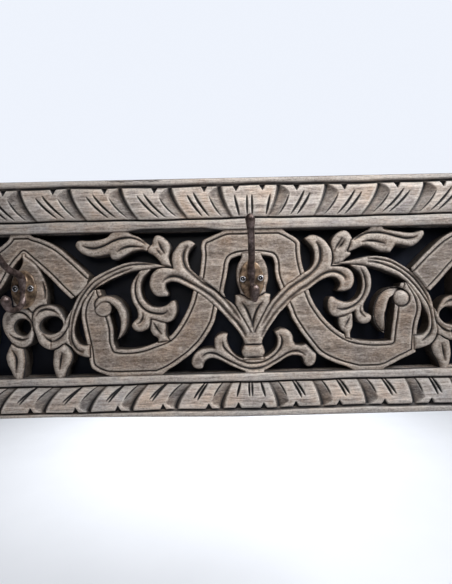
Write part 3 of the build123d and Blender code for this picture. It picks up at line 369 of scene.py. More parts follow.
def closed_curve(points):
    """The whole outline as a closed line, its first point repeated at the end."""
    if all(len(point) == 2 for point in points):
        p = np.array(points, float)
        n = len(p)
        loop = np.vstack([curve_span(p[i - 1], p[i], p[(i + 1) % n], p[(i + 2) % n]) for i in range(n)])
    else:
        loop = np.vstack([open_curve(run)[:-1] for run in outline_runs(points)])
    return np.vstack([loop, loop[:1]])


def ellipse(x, z, half_width, half_height, turn):
    """A closed line round an ellipse that is turned by so many degrees."""
    t = np.linspace(0, 2 * math.pi, ELLIPSE_POINTS)
    across, up = half_width * np.cos(t), half_height * np.sin(t)
    c, s = math.cos(math.radians(turn)), math.sin(math.radians(turn))
    return np.stack([x + c * across - s * up, z + s * across + c * up], axis=1)


def distance_to(x, z, line):
    """Distance from each point to a line, and how far along the line the nearest spot is."""
    best = np.full(x.shape, FAR)
    along = np.zeros(x.shape)
    travelled = 0.0
    for (ax, az), (bx, bz) in zip(line[:-1], line[1:]):
        dx, dz = bx - ax, bz - az
        length = math.hypot(dx, dz)
        if length < TINY:
            continue
        share = np.clip(((x - ax) * dx + (z - az) * dz) / length**2, 0, 1)
        gap = np.hypot(x - ax - share * dx, z - az - share * dz)
        nearer = gap < best
        best = np.where(nearer, gap, best)
        along = np.where(nearer, travelled + share * length, along)
        travelled += length
    return best, along, travelled


def inside(x, z, loop):
    """Which points a closed line goes round."""
    found = np.zeros(x.shape, bool)
    for (ax, az), (bx, bz) in zip(loop[:-1], loop[1:]):
        if az != bz:
            found ^= ((az > z) != (bz > z)) & (x < ax + (bx - ax) * (z - az) / (bz - az))
    return found


def depth_inside(x, z, loop):
    """How far each point is inside a closed line, below 0 for a point outside it."""
    gap, _, _ = distance_to(x, z, loop)
    return np.where(inside(x, z, loop), gap, -gap)


def mirrored(points, axis):
    """An outline, or a cut, on the other side of a vertical line at X = axis, if there is one."""
    return points if axis is None else [(2 * axis - point[0], *point[1:]) for point in points]


def blur(values, weights, radius, passes=2):
    """Box blur over a grid, passed over it a few times, in which only weighted points count."""
    size = 2 * radius + 1
    least_weight = 1e-3

    def sums(field):
        for axis in (0, 1):
            padding = [(radius + 1, radius) if i == axis else (0, 0) for i in (0, 1)]
            total = np.cumsum(np.pad(field, padding, mode="edge"), axis=axis)
            count = field.shape[axis]
            field = (np.take(total, range(size, size + count), axis=axis)
                     - np.take(total, range(0, count), axis=axis)) / size
        return field

    for _ in range(passes):
        values = sums(values * weights) / np.maximum(sums(weights), least_weight)
    return values


# ---- reliefs: heights over a grid -----------------------------------------------------------

# V cuts: the sharp groove, how far it runs out at its ends, and the soft dip on both sides of it
CUT_HALF_WIDTH = 2.2
WIDE_CUT = 3.4
CUT_DEPTH = 2.8
CUT_TAPER = 14.0
CUT_END_WIDTH = 0.35  # share of its width that a cut keeps at its ends
CUT_DIP = 2.4
CUT_DIP_REACH = 5.0
# The groove that each element leaves in what lies beneath its edge
UNDERCUT = 1.9
UNDERCUT_REACH = 1.7
# The groove along a strap's edges, with the shallow trough round it, and the strap's own edge
BEAD_INSET = 5.3
BEAD_HALF_WIDTH = 0.95
BEAD_DEPTH = 2.3
BEAD_TROUGH = (3.0, 0.5)  # half width and depth
STRAP_EDGE = (1.6, 1.3)
RELIEF_STEP = 0.6
WINDOW_MARGIN = 4.0
DEEP = 1e3  # stands for a place well inside or well outside the wood
CAVITY_REACHES = (2, 5)  # grid steps over which a hollow counts as a hollow


class Relief:
    """Heights over a rectangle, carved one element at a time, the lowest first."""

    def __init__(self, low_x, high_x, low_z, high_z, step=RELIEF_STEP):
        self.x = np.linspace(low_x, high_x, round((high_x - low_x) / step) + 1)
        self.z = np.linspace(low_z, high_z, round((high_z - low_z) / step) + 1)
        shape = (len(self.x), len(self.z))
        self.height = np.zeros(shape)
        self.reach = np.full(shape, -DEEP)  # how far a point is inside the wood
        # how near black each point is painted: stain, and painted shade in cuts and recesses
        self.stain_and_shade = np.zeros(shape)

    def grid(self, columns=slice(None), rows=slice(None)):
        """X and Z at every point of the grid, or of a part of it."""
        return np.meshgrid(self.x[columns], self.z[rows], indexing="ij")

    def window(self, loop):
        """The part of the grid around a line, as a slice, with its X and Z."""
        low, high = loop.min(axis=0) - WINDOW_MARGIN, loop.max(axis=0) + WINDOW_MARGIN
        columns = slice(*np.searchsorted(self.x, (low[0], high[0])))
        rows = slice(*np.searchsorted(self.z, (low[1], high[1])))
        return (columns, rows), *self.grid(columns, rows)

    def put(self, part, depth_in, height, edge_height, blend=False):
        """Lay an element over what is there, and groove what lies beneath along its edge.

        An element that blends joins what it meets without a step, wherever that is higher.
        """
        covered = self.reach[part] > 0
        if blend:
            height = np.where(covered, np.maximum(height, self.height[part]), height)
            covered = np.zeros(covered.shape, bool)
        outside = np.clip(1 + depth_in / UNDERCUT_REACH, 0, 1)
        below = self.height[part] - UNDERCUT * outside**2 * covered
        near = (self.reach[part] <= 0) & (depth_in > self.reach[part])
        self.height[part] = np.where(depth_in > 0, height, np.where(near, edge_height, below))
        self.reach[part] = np.maximum(self.reach[part], depth_in)

    def finish(self):
        """Soften the steps a little and find the hollows."""
        wood = np.clip(self.reach / RELIEF_STEP + 1.5, 0, 1)
        self.height = blur(self.height, wood, 1, passes=1)
        self.cavity = sum(blur(self.height, wood, reach) - self.height for reach in CAVITY_REACHES)


SLOPE_POWER = 1.5


def quarter_round(depth_in, width, drop):
    """How far a surface falls towards an edge that is rounded over this width."""
    t = np.clip(depth_in / width, 0, 1)
    return drop * (1 - np.sqrt(1 - (1 - t)**2))


def cut_groove(x, z, points, half_width):
    """Depth of a V cut along a line, with the wood falling softly towards it."""
    gap, along, total = distance_to(x, z, open_curve(points))
    taper = np.sqrt(np.clip(np.minimum(along, total - along) / CUT_TAPER, 0, 1))
    narrowed = half_width * (CUT_END_WIDTH + (1 - CUT_END_WIDTH) * taper)
    sharp = CUT_DEPTH * taper * np.clip(1 - gap / narrowed, 0, 1)
    return sharp + CUT_DIP * taper * np.exp(-(gap / CUT_DIP_REACH)**2)


def carve(relief, points, level, edge, cuts=(), hole=None, slope=None, cut_width=CUT_HALF_WIDTH,
          blend=False):
    """A scroll or leaf with rounded edges. A slope makes it fall away towards its first run."""
    loop = closed_curve(points)
    part, x, z = relief.window(loop)
    depth_in = depth_inside(x, z, loop)
    if hole:
        depth_in = np.minimum(depth_in, -depth_inside(x, z, ellipse(*hole)))
    height = level - quarter_round(depth_in, *edge)
    if slope:
        slope_width, slope_drop = slope
        outer, _, _ = distance_to(x, z, open_curve(outline_runs(points)[0]))
        height -= slope_drop * np.clip(1 - outer / slope_width, 0, 1)**SLOPE_POWER
    for line in cuts:
        height -= cut_groove(x, z, line, cut_width)
    relief.put(part, depth_in, height, level - edge[1], blend)


def carve_strap(relief, points):
    """A flat strap with a groove along each long edge, which leaves a bead outside it."""
    loop = closed_curve(points)
    part, x, z = relief.window(loop)
    depth_in = depth_inside(x, z, loop)
    held = [(px, min(max(pz, BOTTOM_INNER), TOP_INNER), *c) for px, pz, *c in points]
    to_edge = np.full(x.shape, FAR)
    for run in outline_runs(held):
        on_rail = run[0][1] == run[-1][1] and run[0][1] in (BOTTOM_INNER, TOP_INNER)
        if len(run) > 2 or on_rail:
            to_edge = np.minimum(to_edge, distance_to(x, z, open_curve(run))[0])
    from_groove = np.abs(to_edge - BEAD_INSET)
    trough_half_width, trough_depth = BEAD_TROUGH
    height = STRAP_FRONT - quarter_round(depth_in, *STRAP_EDGE)
    height -= BEAD_DEPTH * np.clip(1 - (from_groove / BEAD_HALF_WIDTH)**2, 0, 1)
    height -= trough_depth * np.clip(1 - from_groove / trough_half_width, 0, 1)
    relief.put(part, depth_in, height, STRAP_FRONT - STRAP_EDGE[1])


def carve_eye(relief, x0, z0, radius, dome):
    """A round boss, domed like a button by this much."""
    loop = ellipse(x0, z0, radius, radius, 0)
    part, x, z = relief.window(loop)
    out = np.hypot(x - x0, z - z0)
    height = ARM_FRONT - dome * (1 - np.sqrt(np.clip(1 - (out / radius)**2, 0, 1)))
    relief.put(part, radius - out, height, ARM_FRONT - dome)


# How each kind of element is rounded: width of the rounding and its drop at the edge
BOARD_EDGE = (3.0, 2.0)  # for the crescents and the web, too
VINE_EDGE = (6.5, 4.5)
LEAF_EDGE = (8.0, 5.5)
ARM_EDGE = (5.5, 4.0)
RING_EDGE = (7.5, 5.5)
WEB_FRONT = SCROLL_FRONT - 0.5

# The bays beside the middle. The dome is the eye's. The slope of the crescent beside it has a
# width and a drop. The left crescent laps over its eye, and the right eye stands on its crescent.
LEFT_BAY = {
    "inner": [(LEFT_BUD, LEAF_EDGE, LEFT_BUD_CUTS), (LEFT_TREFOIL, LEAF_EDGE, LEFT_TREFOIL_CUTS),
              (LEFT_TENDRIL, VINE_EDGE, LEFT_TENDRIL_CUTS)],
    "tail": (LEFT_TAIL, VINE_EDGE, LEFT_TAIL_CUTS), "vine": (LEFT_VINE, VINE_EDGE, LEFT_VINE_CUTS),
    "eye": LEFT_EYE, "dome": 2.2, "crescent": LEFT_CRESCENT, "slope": (5.0, 3.0),
    "crescent_front": ARM_FRONT, "eye_first": True,
}
RIGHT_BAY = {
    "inner": [(RIGHT_BUD, LEAF_EDGE, RIGHT_BUD_CUTS), (RIGHT_TREFOIL, LEAF_EDGE, RIGHT_TREFOIL_CUTS),
              (RIGHT_TENDRIL, VINE_EDGE, RIGHT_TENDRIL_CUTS)],
    "tail": (RIGHT_TAIL, VINE_EDGE, RIGHT_TAIL_CUTS), "vine": (RIGHT_VINE, VINE_EDGE, RIGHT_VINE_CUTS),
    "eye": RIGHT_EYE, "dome": 6.5, "crescent": RIGHT_CRESCENT, "slope": (16.0, 8.0),
    "crescent_front": SCROLL_FRONT, "eye_first": False,
}

# The side motif: the board that carries a side hook, two leaves, a ring and a scroll with holes
SIDE_MOTIF = [
    (SIDE_BOARD, BOARD_EDGE, SIDE_BOARD_CUTS, None), (SIDE_LEAF_A, LEAF_EDGE, SIDE_LEAF_A_CUTS, None),
    (SIDE_LEAF_B, LEAF_EDGE, SIDE_LEAF_B_CUTS, None),
    (SIDE_RING_OUT, RING_EDGE, SIDE_RING_CUTS, SIDE_RING_HOLE),
    (SIDE_SCROLL_OUT, RING_EDGE, SIDE_SCROLL_CUTS, SIDE_SCROLL_HOLE),
]


def carve_scroll(relief, scroll, axis, level=SCROLL_FRONT):
    """One element of the pattern, mirrored about an axis if there is one."""
    points, edge, cuts, *hole = scroll
    if hole and hole[0] and axis is not None:
        x, z, half_width, half_height, lean = hole[0]
        hole = [(2 * axis - x, z, half_width, half_height, -lean)]
    carve(relief, mirrored(points, axis), level, edge, [mirrored(line, axis) for line in cuts], *hole)


def carve_bay(relief, bay, axis=None):
    """One bay of scrollwork beside a strap. An axis mirrors it to the outer bay, with fewer leaves."""
    def eye():
        x, z, radius = bay["eye"]
        carve_eye(relief, x if axis is None else 2 * axis - x, z, radius, bay["dome"])

    def crescent():
        carve(relief, mirrored(bay["crescent"], axis), bay["crescent_front"], BOARD_EDGE,
              slope=bay["slope"])

    for scroll in bay["inner"] if axis is None else ():
        carve_scroll(relief, scroll, axis)
    carve_scroll(relief, bay["tail"], axis)
    for step in (eye, crescent) if bay["eye_first"] else (crescent, eye):
        step()
    carve_scroll(relief, bay["vine"], axis)


def carve_side_motif(relief, axis):
    """The board that carries a side hook, with the ring and scroll below it."""
    for scroll in SIDE_MOTIF:
        carve_scroll(relief, scroll, axis)
    carve_scroll(relief, (SIDE_WEB, BOARD_EDGE, SIDE_WEB_CUTS), axis, WEB_FRONT)


def carve_centre(relief):
    """The arms that rise from a vase on a scrolled base, and the board of the middle hook."""
    carve(relief, BASE_SCROLL, SCROLL_FRONT, ARM_EDGE, BASE_CUTS)
    carve(relief, CENTRE_BOARD, SCROLL_FRONT, BOARD_EDGE)
    carve(relief, CENTRE_LEAVES, SCROLL_FRONT, LEAF_EDGE, CENTRE_LEAVES_CUTS)
    carve(relief, LEFT_ARM, ARM_FRONT, ARM_EDGE, LEFT_ARM_CUTS, cut_width=WIDE_CUT)
    carve(relief, RIGHT_ARM, ARM_FRONT, ARM_EDGE, RIGHT_ARM_CUTS, cut_width=WIDE_CUT)
    carve(relief, NECK, ARM_FRONT, LEAF_EDGE, blend=True)
    carve(relief, VASE, ARM_FRONT, LEAF_EDGE, VASE_CUTS)


def carve_fret():
    """The whole openwork board, from its flat straps up to the arms."""
    relief = Relief(-STILE_INNER, STILE_INNER, BOTTOM_INNER, TOP_INNER)
    for strap in (CENTRE_ARCH, LEFT_STRAP, RIGHT_STRAP, mirrored(LEFT_STRAP, SIDE_AXIS),
                  mirrored(RIGHT_STRAP, SIDE_TURN), SIDE_ARCH, mirrored(SIDE_ARCH, PATTERN_MIDDLE)):
        carve_strap(relief, strap)
    for axis in (None, PATTERN_MIDDLE):
        carve_side_motif(relief, axis)
    for axis in (None, PATTERN_MIDDLE):
        carve(relief, mirrored(END_LEAF, axis), SCROLL_FRONT, VINE_EDGE)
    carve_bay(relief, LEFT_BAY, SIDE_AXIS)
    carve_bay(relief, RIGHT_BAY, SIDE_TURN)
    carve_bay(relief, LEFT_BAY)
    carve_bay(relief, RIGHT_BAY)
    carve_centre(relief)
    relief.finish()
    return relief


# ---- leaf bands on the frame ----------------------------------------------------------------

# The fillets and the quirks that part them from the band
FILLET_ROUND = 3.0
INNER_ROUND = 1.8
FILLET_CROWN = 0.9
FILLET_STAIN = 0.22
QUIRK_DEPTH = 3.4
# How near black the quirks are painted: painted shade in the groove
QUIRK_SHADE = 0.75
QUIRK_HALF_WIDTHS = (2.6, 1.7)  # at the outer and at the inner edge of the band
QUIRK_SHIFT = 1.6
# The band: its face, and the scoop, notch and gouges of each leaf
BAND_SINK = 1.0
INNER_FALL = (0.6, 2.4)  # from where across the band it falls to its inner edge, and how far
OUTER_FALL = (0.12, 0.8)  # up to where across the band it falls to its outer edge, and how far
INNER_SHADE = (0.72, 0.3)  # painted shade: from where across the band it starts, and how much at its inner edge
WOBBLE_FREE = 6  # how far from a member's edges its lines waver fully
SCOOP_DEPTH = 7.5
SCOOP_WALL = 5.0
# Painted shade on each leaf's steep wall, and painted shade with some stain in the deep part of its scoop
WALL_SHADE = 0.85
SCOOP_STAIN_AND_SHADE = 0.5
SHOULDER = 0.27  # how far across the band a leaf is widest
NOTCH_DEPTH = 5.0
NOTCH_SIZE = (4.2, 7.5)  # half width and length
GOUGE_DEPTH = 3.8
GOUGE_HALF_WIDTH = 2.5
RIM_GOUGE = (1.7, 3.0)  # half width and depth
PAIR_GOUGE_HALF_WIDTH = 1.7
THIRD_GOUGE_HALF_WIDTH = 2.1
LEAF_PITCH = 63.0  # the pitch for which the measures along a leaf are given
GOUGE_PLACES = (41.6, 34.3)  # from the leaf's wall
RIM_SWELL = (4.0, 11.6)  # how far a leaf's rim stands from its wall: at the edge, and more at the shoulder
# How far the lines of a leaf lean back across the band, straight and curving
WALL_LEAN = (9, 14)
RIM_LEAN = (17, 26)
GOUGE_LEANS = ((30, 16), (25, 17))


def leaning(across, amounts):
    """How far a line has leaned back at a place across the band."""
    straight, curving = amounts
    return straight * across + curving * across**2


def gouge(s, v, line, span, half_width, depth=GOUGE_DEPTH):
    """A tapered V cut across the band. The line gives its place along the band at each v."""
    start, end = span
    along = np.clip((v - start) / (end - start), 0, 1)
    taper = np.sin(math.pi * along)**0.5
    return depth * taper * np.clip(1 - np.abs(s - line) / (half_width * taper + 1e-6), 0, 1)


def leaf(s, v, wall_at, stretch, lean, span):
    """One leaf of a band: a scoop that ends at a steep wall, and three gouges. Depth, and painted shade on
    the wall and in the scoop, where some stain collects too.

    s runs along the band from its middle, v across it from 0 at the outer edge to 1 at the inner.
    """
    start, end = span
    wall = wall_at - lean * leaning(v, WALL_LEAN)
    past = np.clip(v - SHOULDER, 0, 1)
    least, more = RIM_SWELL
    swell = least + more * np.sin(math.pi / 2 * np.clip(v / SHOULDER, 0, 1))
    rim = wall_at + stretch * (swell - lean * leaning(past, RIM_LEAN))
    share = np.clip((rim - s) / np.maximum(rim - wall, 2), 0, 1)
    bank = np.clip((s - wall) / (SCOOP_WALL * (1 - 0.5 * v)) + 0.5, 0, 1)
    scoop = SCOOP_DEPTH * (1 - 0.75 * v**1.5) * share**0.9 * bank
    later = np.clip(v - start, 0, 1)
    first, second = (wall_at + stretch * (at - lean * leaning(across, amounts))
                     for at, across, amounts in zip(GOUGE_PLACES, (past, later), GOUGE_LEANS))
    cuts = gouge(s, v, rim - 1.2, (start + 0.08, end + 0.03), *RIM_GOUGE)
    cuts = np.maximum(cuts, gouge(s, v, first, (start + 0.07, end), GOUGE_HALF_WIDTH))
    cuts = np.maximum(cuts, gouge(s, v, second, span, GOUGE_HALF_WIDTH))
    # Painted shade: the steep wall and the deep part of the scoop beside it are painted towards near black
    steep_wall_shade = WALL_SHADE * 4 * bank * (1 - bank) * (1 - 0.4 * v)
    leaf_stain_and_shade = np.clip(6 * share, 0, 1) * np.maximum(SCOOP_STAIN_AND_SHADE * bank**3, steep_wall_shade)
    return np.maximum(scoop, cuts), leaf_stain_and_shade, cuts


def notch(s, out, at):
    """A chip cut in from the band's outer edge to a point."""
    half_width, length = NOTCH_SIZE
    half = half_width * np.clip(1 - out / length, 0, 1)
    return NOTCH_DEPTH * np.clip((half - np.abs(s - at)) / 1.0, 0, 1)


def leaf_places(leaves, band):
    """The leaves of one half, carried on at an even pitch to the end: place, stretch and lean."""
    places = list(leaves)
    while places[-1][0] < HALF_LENGTH + LEAF_PITCH:
        places.append((places[-1][0] + band["pitch"], leaves[-1][1]))
    return [(at, (after - at) / LEAF_PITCH, lean) for (at, lean), (after, _) in zip(places, places[1:])]


def leaf_band(place, v, out, band):
    """Depth of the leaf carving, and its stain and painted shade, from the place along the band and across
    it.
    """
    cut, stain_and_shade = np.zeros(place.shape), np.zeros(place.shape)
    for way in (-1, 1):
        s = way * (place - band["middle"])
        start, end = band["span"]
        lines = gouge(s, v, band["pair"], (start + 0.12, end), PAIR_GOUGE_HALF_WIDTH)
        third = band["third"][way] - 9 * np.clip(v - 0.3, 0, 1)
        third_span = (start + 0.1, end + 0.02)
        lines = np.maximum(lines, gouge(s, v, third, third_span, THIRD_GOUGE_HALF_WIDTH))
        lines = np.maximum(lines, notch(s, out, band["first_notch"]))
        depth, leaf_stain_and_shade = lines.copy(), np.zeros(place.shape)
        for at, stretch, lean in leaf_places(band["leaves"][way], band):
            unit_depth, unit_stain_and_shade, cuts = leaf(s, v, at, stretch, lean, band["span"])
            chip = notch(s, out, at + band["notch"][way])
            depth = np.maximum(depth, np.maximum(unit_depth, chip))
            lines = np.maximum(lines, np.maximum(cuts, chip))
            leaf_stain_and_shade = np.maximum(leaf_stain_and_shade, unit_stain_and_shade)
        half = s >= 0
        cut = np.where(half, depth, cut)
        # The gouges and notches are painted near black: painted shade in the cuts
        stain_and_shade = np.where(half, np.maximum(leaf_stain_and_shade, np.clip(lines / 1.6, 0, 1)), stain_and_shade)
    return cut, stain_and_shade


def carve_member(relief, along, out, width, fillets, band):
    """A rail or a stile: a plain fillet on each side of a band of leaves.

    The lines along it waver a little, since they are cut by hand.
    """
    outer_fillet, inner_fillet = fillets
    wobble = 0.5 * np.sin(along / 37.0 + 1.3) + 0.3 * np.sin(along / 13.0 + out / 40)
    t = out + wobble * np.clip(np.minimum(out, width - out) / WOBBLE_FREE, 0, 1)
    band_width = width - inner_fillet - outer_fillet
    v = np.clip((t - outer_fillet) / band_width, 0, 1)
    on_band = (t > outer_fillet) & (t < width - inner_fillet)
    height = RAIL_FRONT - quarter_round(out, FILLET_ROUND, FILLET_ROUND)
    height -= quarter_round(width - out, INNER_ROUND, INNER_ROUND)
    for middle, half in ((outer_fillet / 2, outer_fillet / 2),
                         (width - inner_fillet / 2, inner_fillet / 2)):
        crown = FILLET_CROWN * np.clip(np.abs(t - middle) / half, 0, 1)**2.5
        height -= np.where(on_band, 0, crown)
    depth, stain_and_shade = leaf_band(along, v, t - outer_fillet, band)
    inner_part, inner_fall = INNER_FALL
    outer_part, outer_fall = OUTER_FALL
    face = BAND_SINK + inner_fall * np.clip((v - inner_part) / (1 - inner_part), 0, 1)**2
    face += outer_fall * np.clip(1 - v / outer_part, 0, 1)
    height -= np.where(on_band, face + depth, 0)
    # Painted shade towards the band's inner edge, where its face turns back
    shaded_part, most = INNER_SHADE
    shaded = most * np.clip((v - shaded_part) / (1 - shaded_part), 0, 1)
    stain_and_shade = np.where(on_band, np.maximum(stain_and_shade, shaded), FILLET_STAIN)
    quirks = (outer_fillet - QUIRK_SHIFT, width - inner_fillet)
    for quirk, half_width in zip(quirks, QUIRK_HALF_WIDTHS):
        hollow = np.clip(1 - (np.abs(t - quirk) / half_width)**1.5, 0, 1)
        height -= QUIRK_DEPTH * hollow
        # painted shade in the quirk
        stain_and_shade = np.maximum(stain_and_shade, QUIRK_SHADE * np.clip(1.5 * hollow, 0, 1))
    relief.height[:] = height
    relief.stain_and_shade[:] = stain_and_shade
    relief.reach[:] = DEEP
    relief.finish()
    return relief


def carve_rail(outer, inner, fillets, band):
    """The front of a rail, between the levels of its outer and its inner edge."""
    relief = Relief(-HALF_LENGTH, HALF_LENGTH, min(outer, inner), max(outer, inner))
    x, z = relief.grid()
    return carve_member(relief, x, np.abs(z - outer), abs(outer - inner), fillets, band)


CRACK_HALF_WIDTH = 1.0
CRACK_DEPTH = 1.6
CRACK_TAPER = 14.0
# How near black the crack is painted: painted shade in it
CRACK_SHADE = 0.9


def crack(relief, start, end, level):
    """A drying crack that wanders along the grain of a rail, between two places along it."""
    x, z = relief.grid()
    line = level + 0.5 * np.sin(x / 6.0) + 0.35 * np.sin(x / 2.1)
    taper = np.clip(np.minimum(x - start, end - x) / CRACK_TAPER, 0, 1)
    deep = taper * np.clip(1 - np.abs(z - line) / (CRACK_HALF_WIDTH * taper + 1e-6), 0, 1)
    relief.height -= CRACK_DEPTH * deep
    # The crack is painted near black: painted shade in it
    relief.stain_and_shade = np.maximum(relief.stain_and_shade, CRACK_SHADE * np.clip(2 * deep, 0, 1))


# Widths of the fillets outside and inside each band of leaves
TOP_FILLETS = (11.0, 14.3)
BOTTOM_FILLETS = (11.4, 11.0)
STILE_FILLETS = (11.0, 11.0)

# Each band, with places from its middle for its left or lower half (-1) and its other half (1).
# The span is the part across the band that the gouges take up, the pair and the third are the
# gouges nearest the middle, and each leaf has its place and its lean, from the middle outwards.
TOP_BAND = {
    "middle": 1.0, "pitch": 63.0, "span": (0.17, 0.93), "pair": 3.2, "third": {-1: 19.0, 1: 26.5},
    "first_notch": 16.8, "notch": {-1: 20.5, 1: 24.0},
    "leaves": {-1: [(37.0, 0.7), (100.2, 1.0), (163.5, 1.0), (228.5, 1.0)],
               1: [(36.7, 0.66), (97.9, 0.76), (165.8, 1.1), (224.8, 1.0)]},
}
BOTTOM_BAND = {
    "middle": -3.0, "pitch": 57.0, "span": (0.32, 1.04), "pair": 1.9, "third": {-1: 19.0, 1: 19.5},
    "first_notch": 16.2, "notch": {-1: 17.5, 1: 23.0},
    "leaves": {-1: [(36.4, 0.62), (94.5, 0.92), (151.7, 1.0), (205.4, 1.1)],
               1: [(34.2, 0.52), (90.0, 0.54), (147.8, 0.56), (207.9, 0.48)]},
}
STILE_BAND = {
    "middle": (TOP_INNER + BOTTOM_INNER) / 2, "pitch": 57.0, "span": (0.17, 0.93), "pair": 3.0,
    "third": {-1: 18.0, 1: 18.0}, "first_notch": 16.0, "notch": {-1: 20.0, 1: 20.0},
    "leaves": {-1: [(35.0, 0.7), (92.0, 0.9)], 1: [(35.0, 0.7), (92.0, 0.9)]},
}


def carve_stile(side):
    """The front of the left (-1) or right (1) stile."""
    low, high = sorted((side * STILE_INNER, side * HALF_LENGTH))
    relief = Relief(low, high, BOTTOM_INNER, TOP_INNER)
    x, z = relief.grid()
    out = HALF_LENGTH - side * x
    return carve_member(relief, z, out, HALF_LENGTH - STILE_INNER, STILE_FILLETS, STILE_BAND)


# ---- meshes from reliefs --------------------------------------------------------------------

# The part of a grid cell that lies in the wood, by which of its corners do: a, b, c and d go
# round the cell, and ab is the point where the outline crosses the side from a to b
CELL_SHAPES = {
    1: "a ab da", 2: "b bc ab", 3: "a b bc da", 4: "c cd bc", 5: "a ab bc c cd da", 6: "b c cd ab",
    7: "a b c cd da", 8: "d da cd", 9: "a ab cd d", 10: "ab b bc cd d da", 11: "a b bc cd d",
    12: "c d da bc", 13: "a ab bc c d", 14: "b c d da ab", 15: "a b c d",
}


EDGE_SHARE = 0.03  # the outline stays this share of a cell's side away from its corners


def mix_at(field, first, second, share):
    """Values between two grid corners, this share of the way from the first to the second."""
    return field[first] * (1 - share) + field[second] * share


def front_of(relief, columns):
    """Vertices and faces of a relief's front over some of its columns.

    Each vertex has its X, height, Z, slopes, hollowness, and its stain and painted shade.
    """
    reach = relief.reach[columns]
    height = relief.height[columns]
    x, z = relief.grid(columns)
    slope_x, slope_z = np.gradient(relief.height, relief.x, relief.z)
    fields = np.stack([x, height, z, slope_x[columns], slope_z[columns], relief.cavity[columns],
                       relief.stain_and_shade[columns]], axis=-1)
    wood = reach > 0
    index = np.full((3, *reach.shape), -1)
    index[0][wood] = np.arange(wood.sum())
    rows = [fields[wood]]
    count = wood.sum()
    for k, (first, second) in enumerate((
            ((slice(None, -1), slice(None)), (slice(1, None), slice(None))),
            ((slice(None), slice(None, -1)), (slice(None), slice(1, None)))), start=1):
        crossed = wood[first] != wood[second]
        share = np.zeros(crossed.shape)
        np.divide(reach[first], reach[first] - reach[second], out=share, where=crossed)
        share = np.clip(share, EDGE_SHARE, 1 - EDGE_SHARE)[..., None]
        rows.append(mix_at(fields, first, second, share)[crossed])
        index[k][first][crossed] = count + np.arange(crossed.sum())
        count += crossed.sum()
    corners, level_sides, upright_sides = index
    ids = {"a": corners[:-1, :-1], "b": corners[1:, :-1], "c": corners[1:, 1:], "d": corners[:-1, 1:],
           "ab": level_sides[:-1, :-1], "cd": level_sides[:-1, 1:],
           "da": upright_sides[:-1, :-1], "bc": upright_sides[1:, :-1]}
    code = (wood[:-1, :-1] + 2 * wood[1:, :-1] + 4 * wood[1:, 1:] + 8 * wood[:-1, 1:]).astype(int)
    faces = []
    for shape, names in CELL_SHAPES.items():
        here = code == shape
        if here.any():
            faces.append(np.stack([ids[name][here] for name in names.split()], axis=1))
    return np.vstack(rows), faces


def edge_pairs(faces):
    """Directed edges that only one face uses: the rim of the surface."""
    edges = np.vstack([np.stack([f, np.roll(f, -1, axis=1)], axis=-1).reshape(-1, 2) for f in faces])
    size = edges.max() + 1
    forward, backward = edges[:, 0] * size + edges[:, 1], edges[:, 1] * size + edges[:, 0]
    return edges[~np.isin(forward, backward)]


def unit(vectors):
    """The vectors at length 1."""
    return vectors / np.maximum(np.linalg.norm(vectors, axis=1, keepdims=True), TINY)


def new_object(name, data):
    """An object of this name, in the scene."""
    thing = bpy.data.objects.new(name, data)
    bpy.context.scene.collection.objects.link(thing)
    return thing


def mesh_of(form, name):
    """A mesh of this name from a bmesh, which is freed."""
    mesh = bpy.data.meshes.new(name)
    form.to_mesh(mesh)
    form.free()
    return mesh


def vertices_of(mesh):
    """A mesh's vertices, as rows of X, Y and Z in metres."""
    co = np.zeros(3 * len(mesh.vertices))
    mesh.vertices.foreach_get("co", co)
    return co.reshape(-1, 3)


def add_attribute(mesh, key, values):
    """A number for each vertex, which the materials read by this key."""
    mesh.attributes.new(key, "FLOAT", "POINT").data.foreach_set("value", np.array(values, np.float32))


def make_mesh(name, points, faces, normals, attributes):
    """A mesh object from arrays: points in millimetres, faces as arrays of one size each."""
    mesh = bpy.data.meshes.new(name)
    loops = np.concatenate([f.reshape(-1) for f in faces])
    sizes = np.concatenate([np.full(len(f), f.shape[1]) for f in faces])
    mesh.vertices.add(len(points))
    mesh.vertices.foreach_set("co", (points * MM).astype(np.float32).reshape(-1))
    mesh.loops.add(len(loops))
    mesh.loops.foreach_set("vertex_index", loops.astype(np.int32))
    mesh.polygons.add(len(sizes))
    mesh.polygons.foreach_set("loop_start", (np.cumsum(sizes) - sizes).astype(np.int32))
    mesh.polygons.foreach_set("use_smooth", np.ones(len(sizes), bool))
    mesh.update(calc_edges=True)
    for key, values in attributes.items():
        add_attribute(mesh, key, values)
    mesh.normals_split_custom_set_from_vertices(normals.tolist())
    return new_object(name, mesh)


WALL_CAVITY = 0.12  # the hollowness of walls, which the materials read
# Painted shade on the rails' and stiles' sides that face the opening, near black
OPENING_SHADE = 0.93
NEAR = 0.1  # how near to the opening's sides a point lies on them


def in_opening(x, z):
    """Which points lie on the sides of the frame's opening, as 1 or 0."""
    found = (np.abs(x) < STILE_INNER + NEAR) & (z > BOTTOM_INNER - NEAR) & (z < TOP_INNER + NEAR)
    return found.astype(np.float32)


def strip_back(count_x, count_z, bottom_of):
    """Faces of a rectangular back: a strip for each column, the end ones with every rim point."""
    i = np.arange(1, count_x - 2)
    ends = [bottom_of(*cell) for cell in ((i, count_z - 1), (i + 1, count_z - 1), (i + 1, 0), (i, 0))]
    rows = np.arange(count_z)
    last = count_x - 1
    first_face = np.concatenate([bottom_of(0, rows), bottom_of(1, rows[[-1, 0]])])
    last_face = np.concatenate([bottom_of(last, rows[::-1]), bottom_of(last - 1, rows[[0, -1]])])
    return [np.stack(ends, axis=1), first_face[None], last_face[None]]


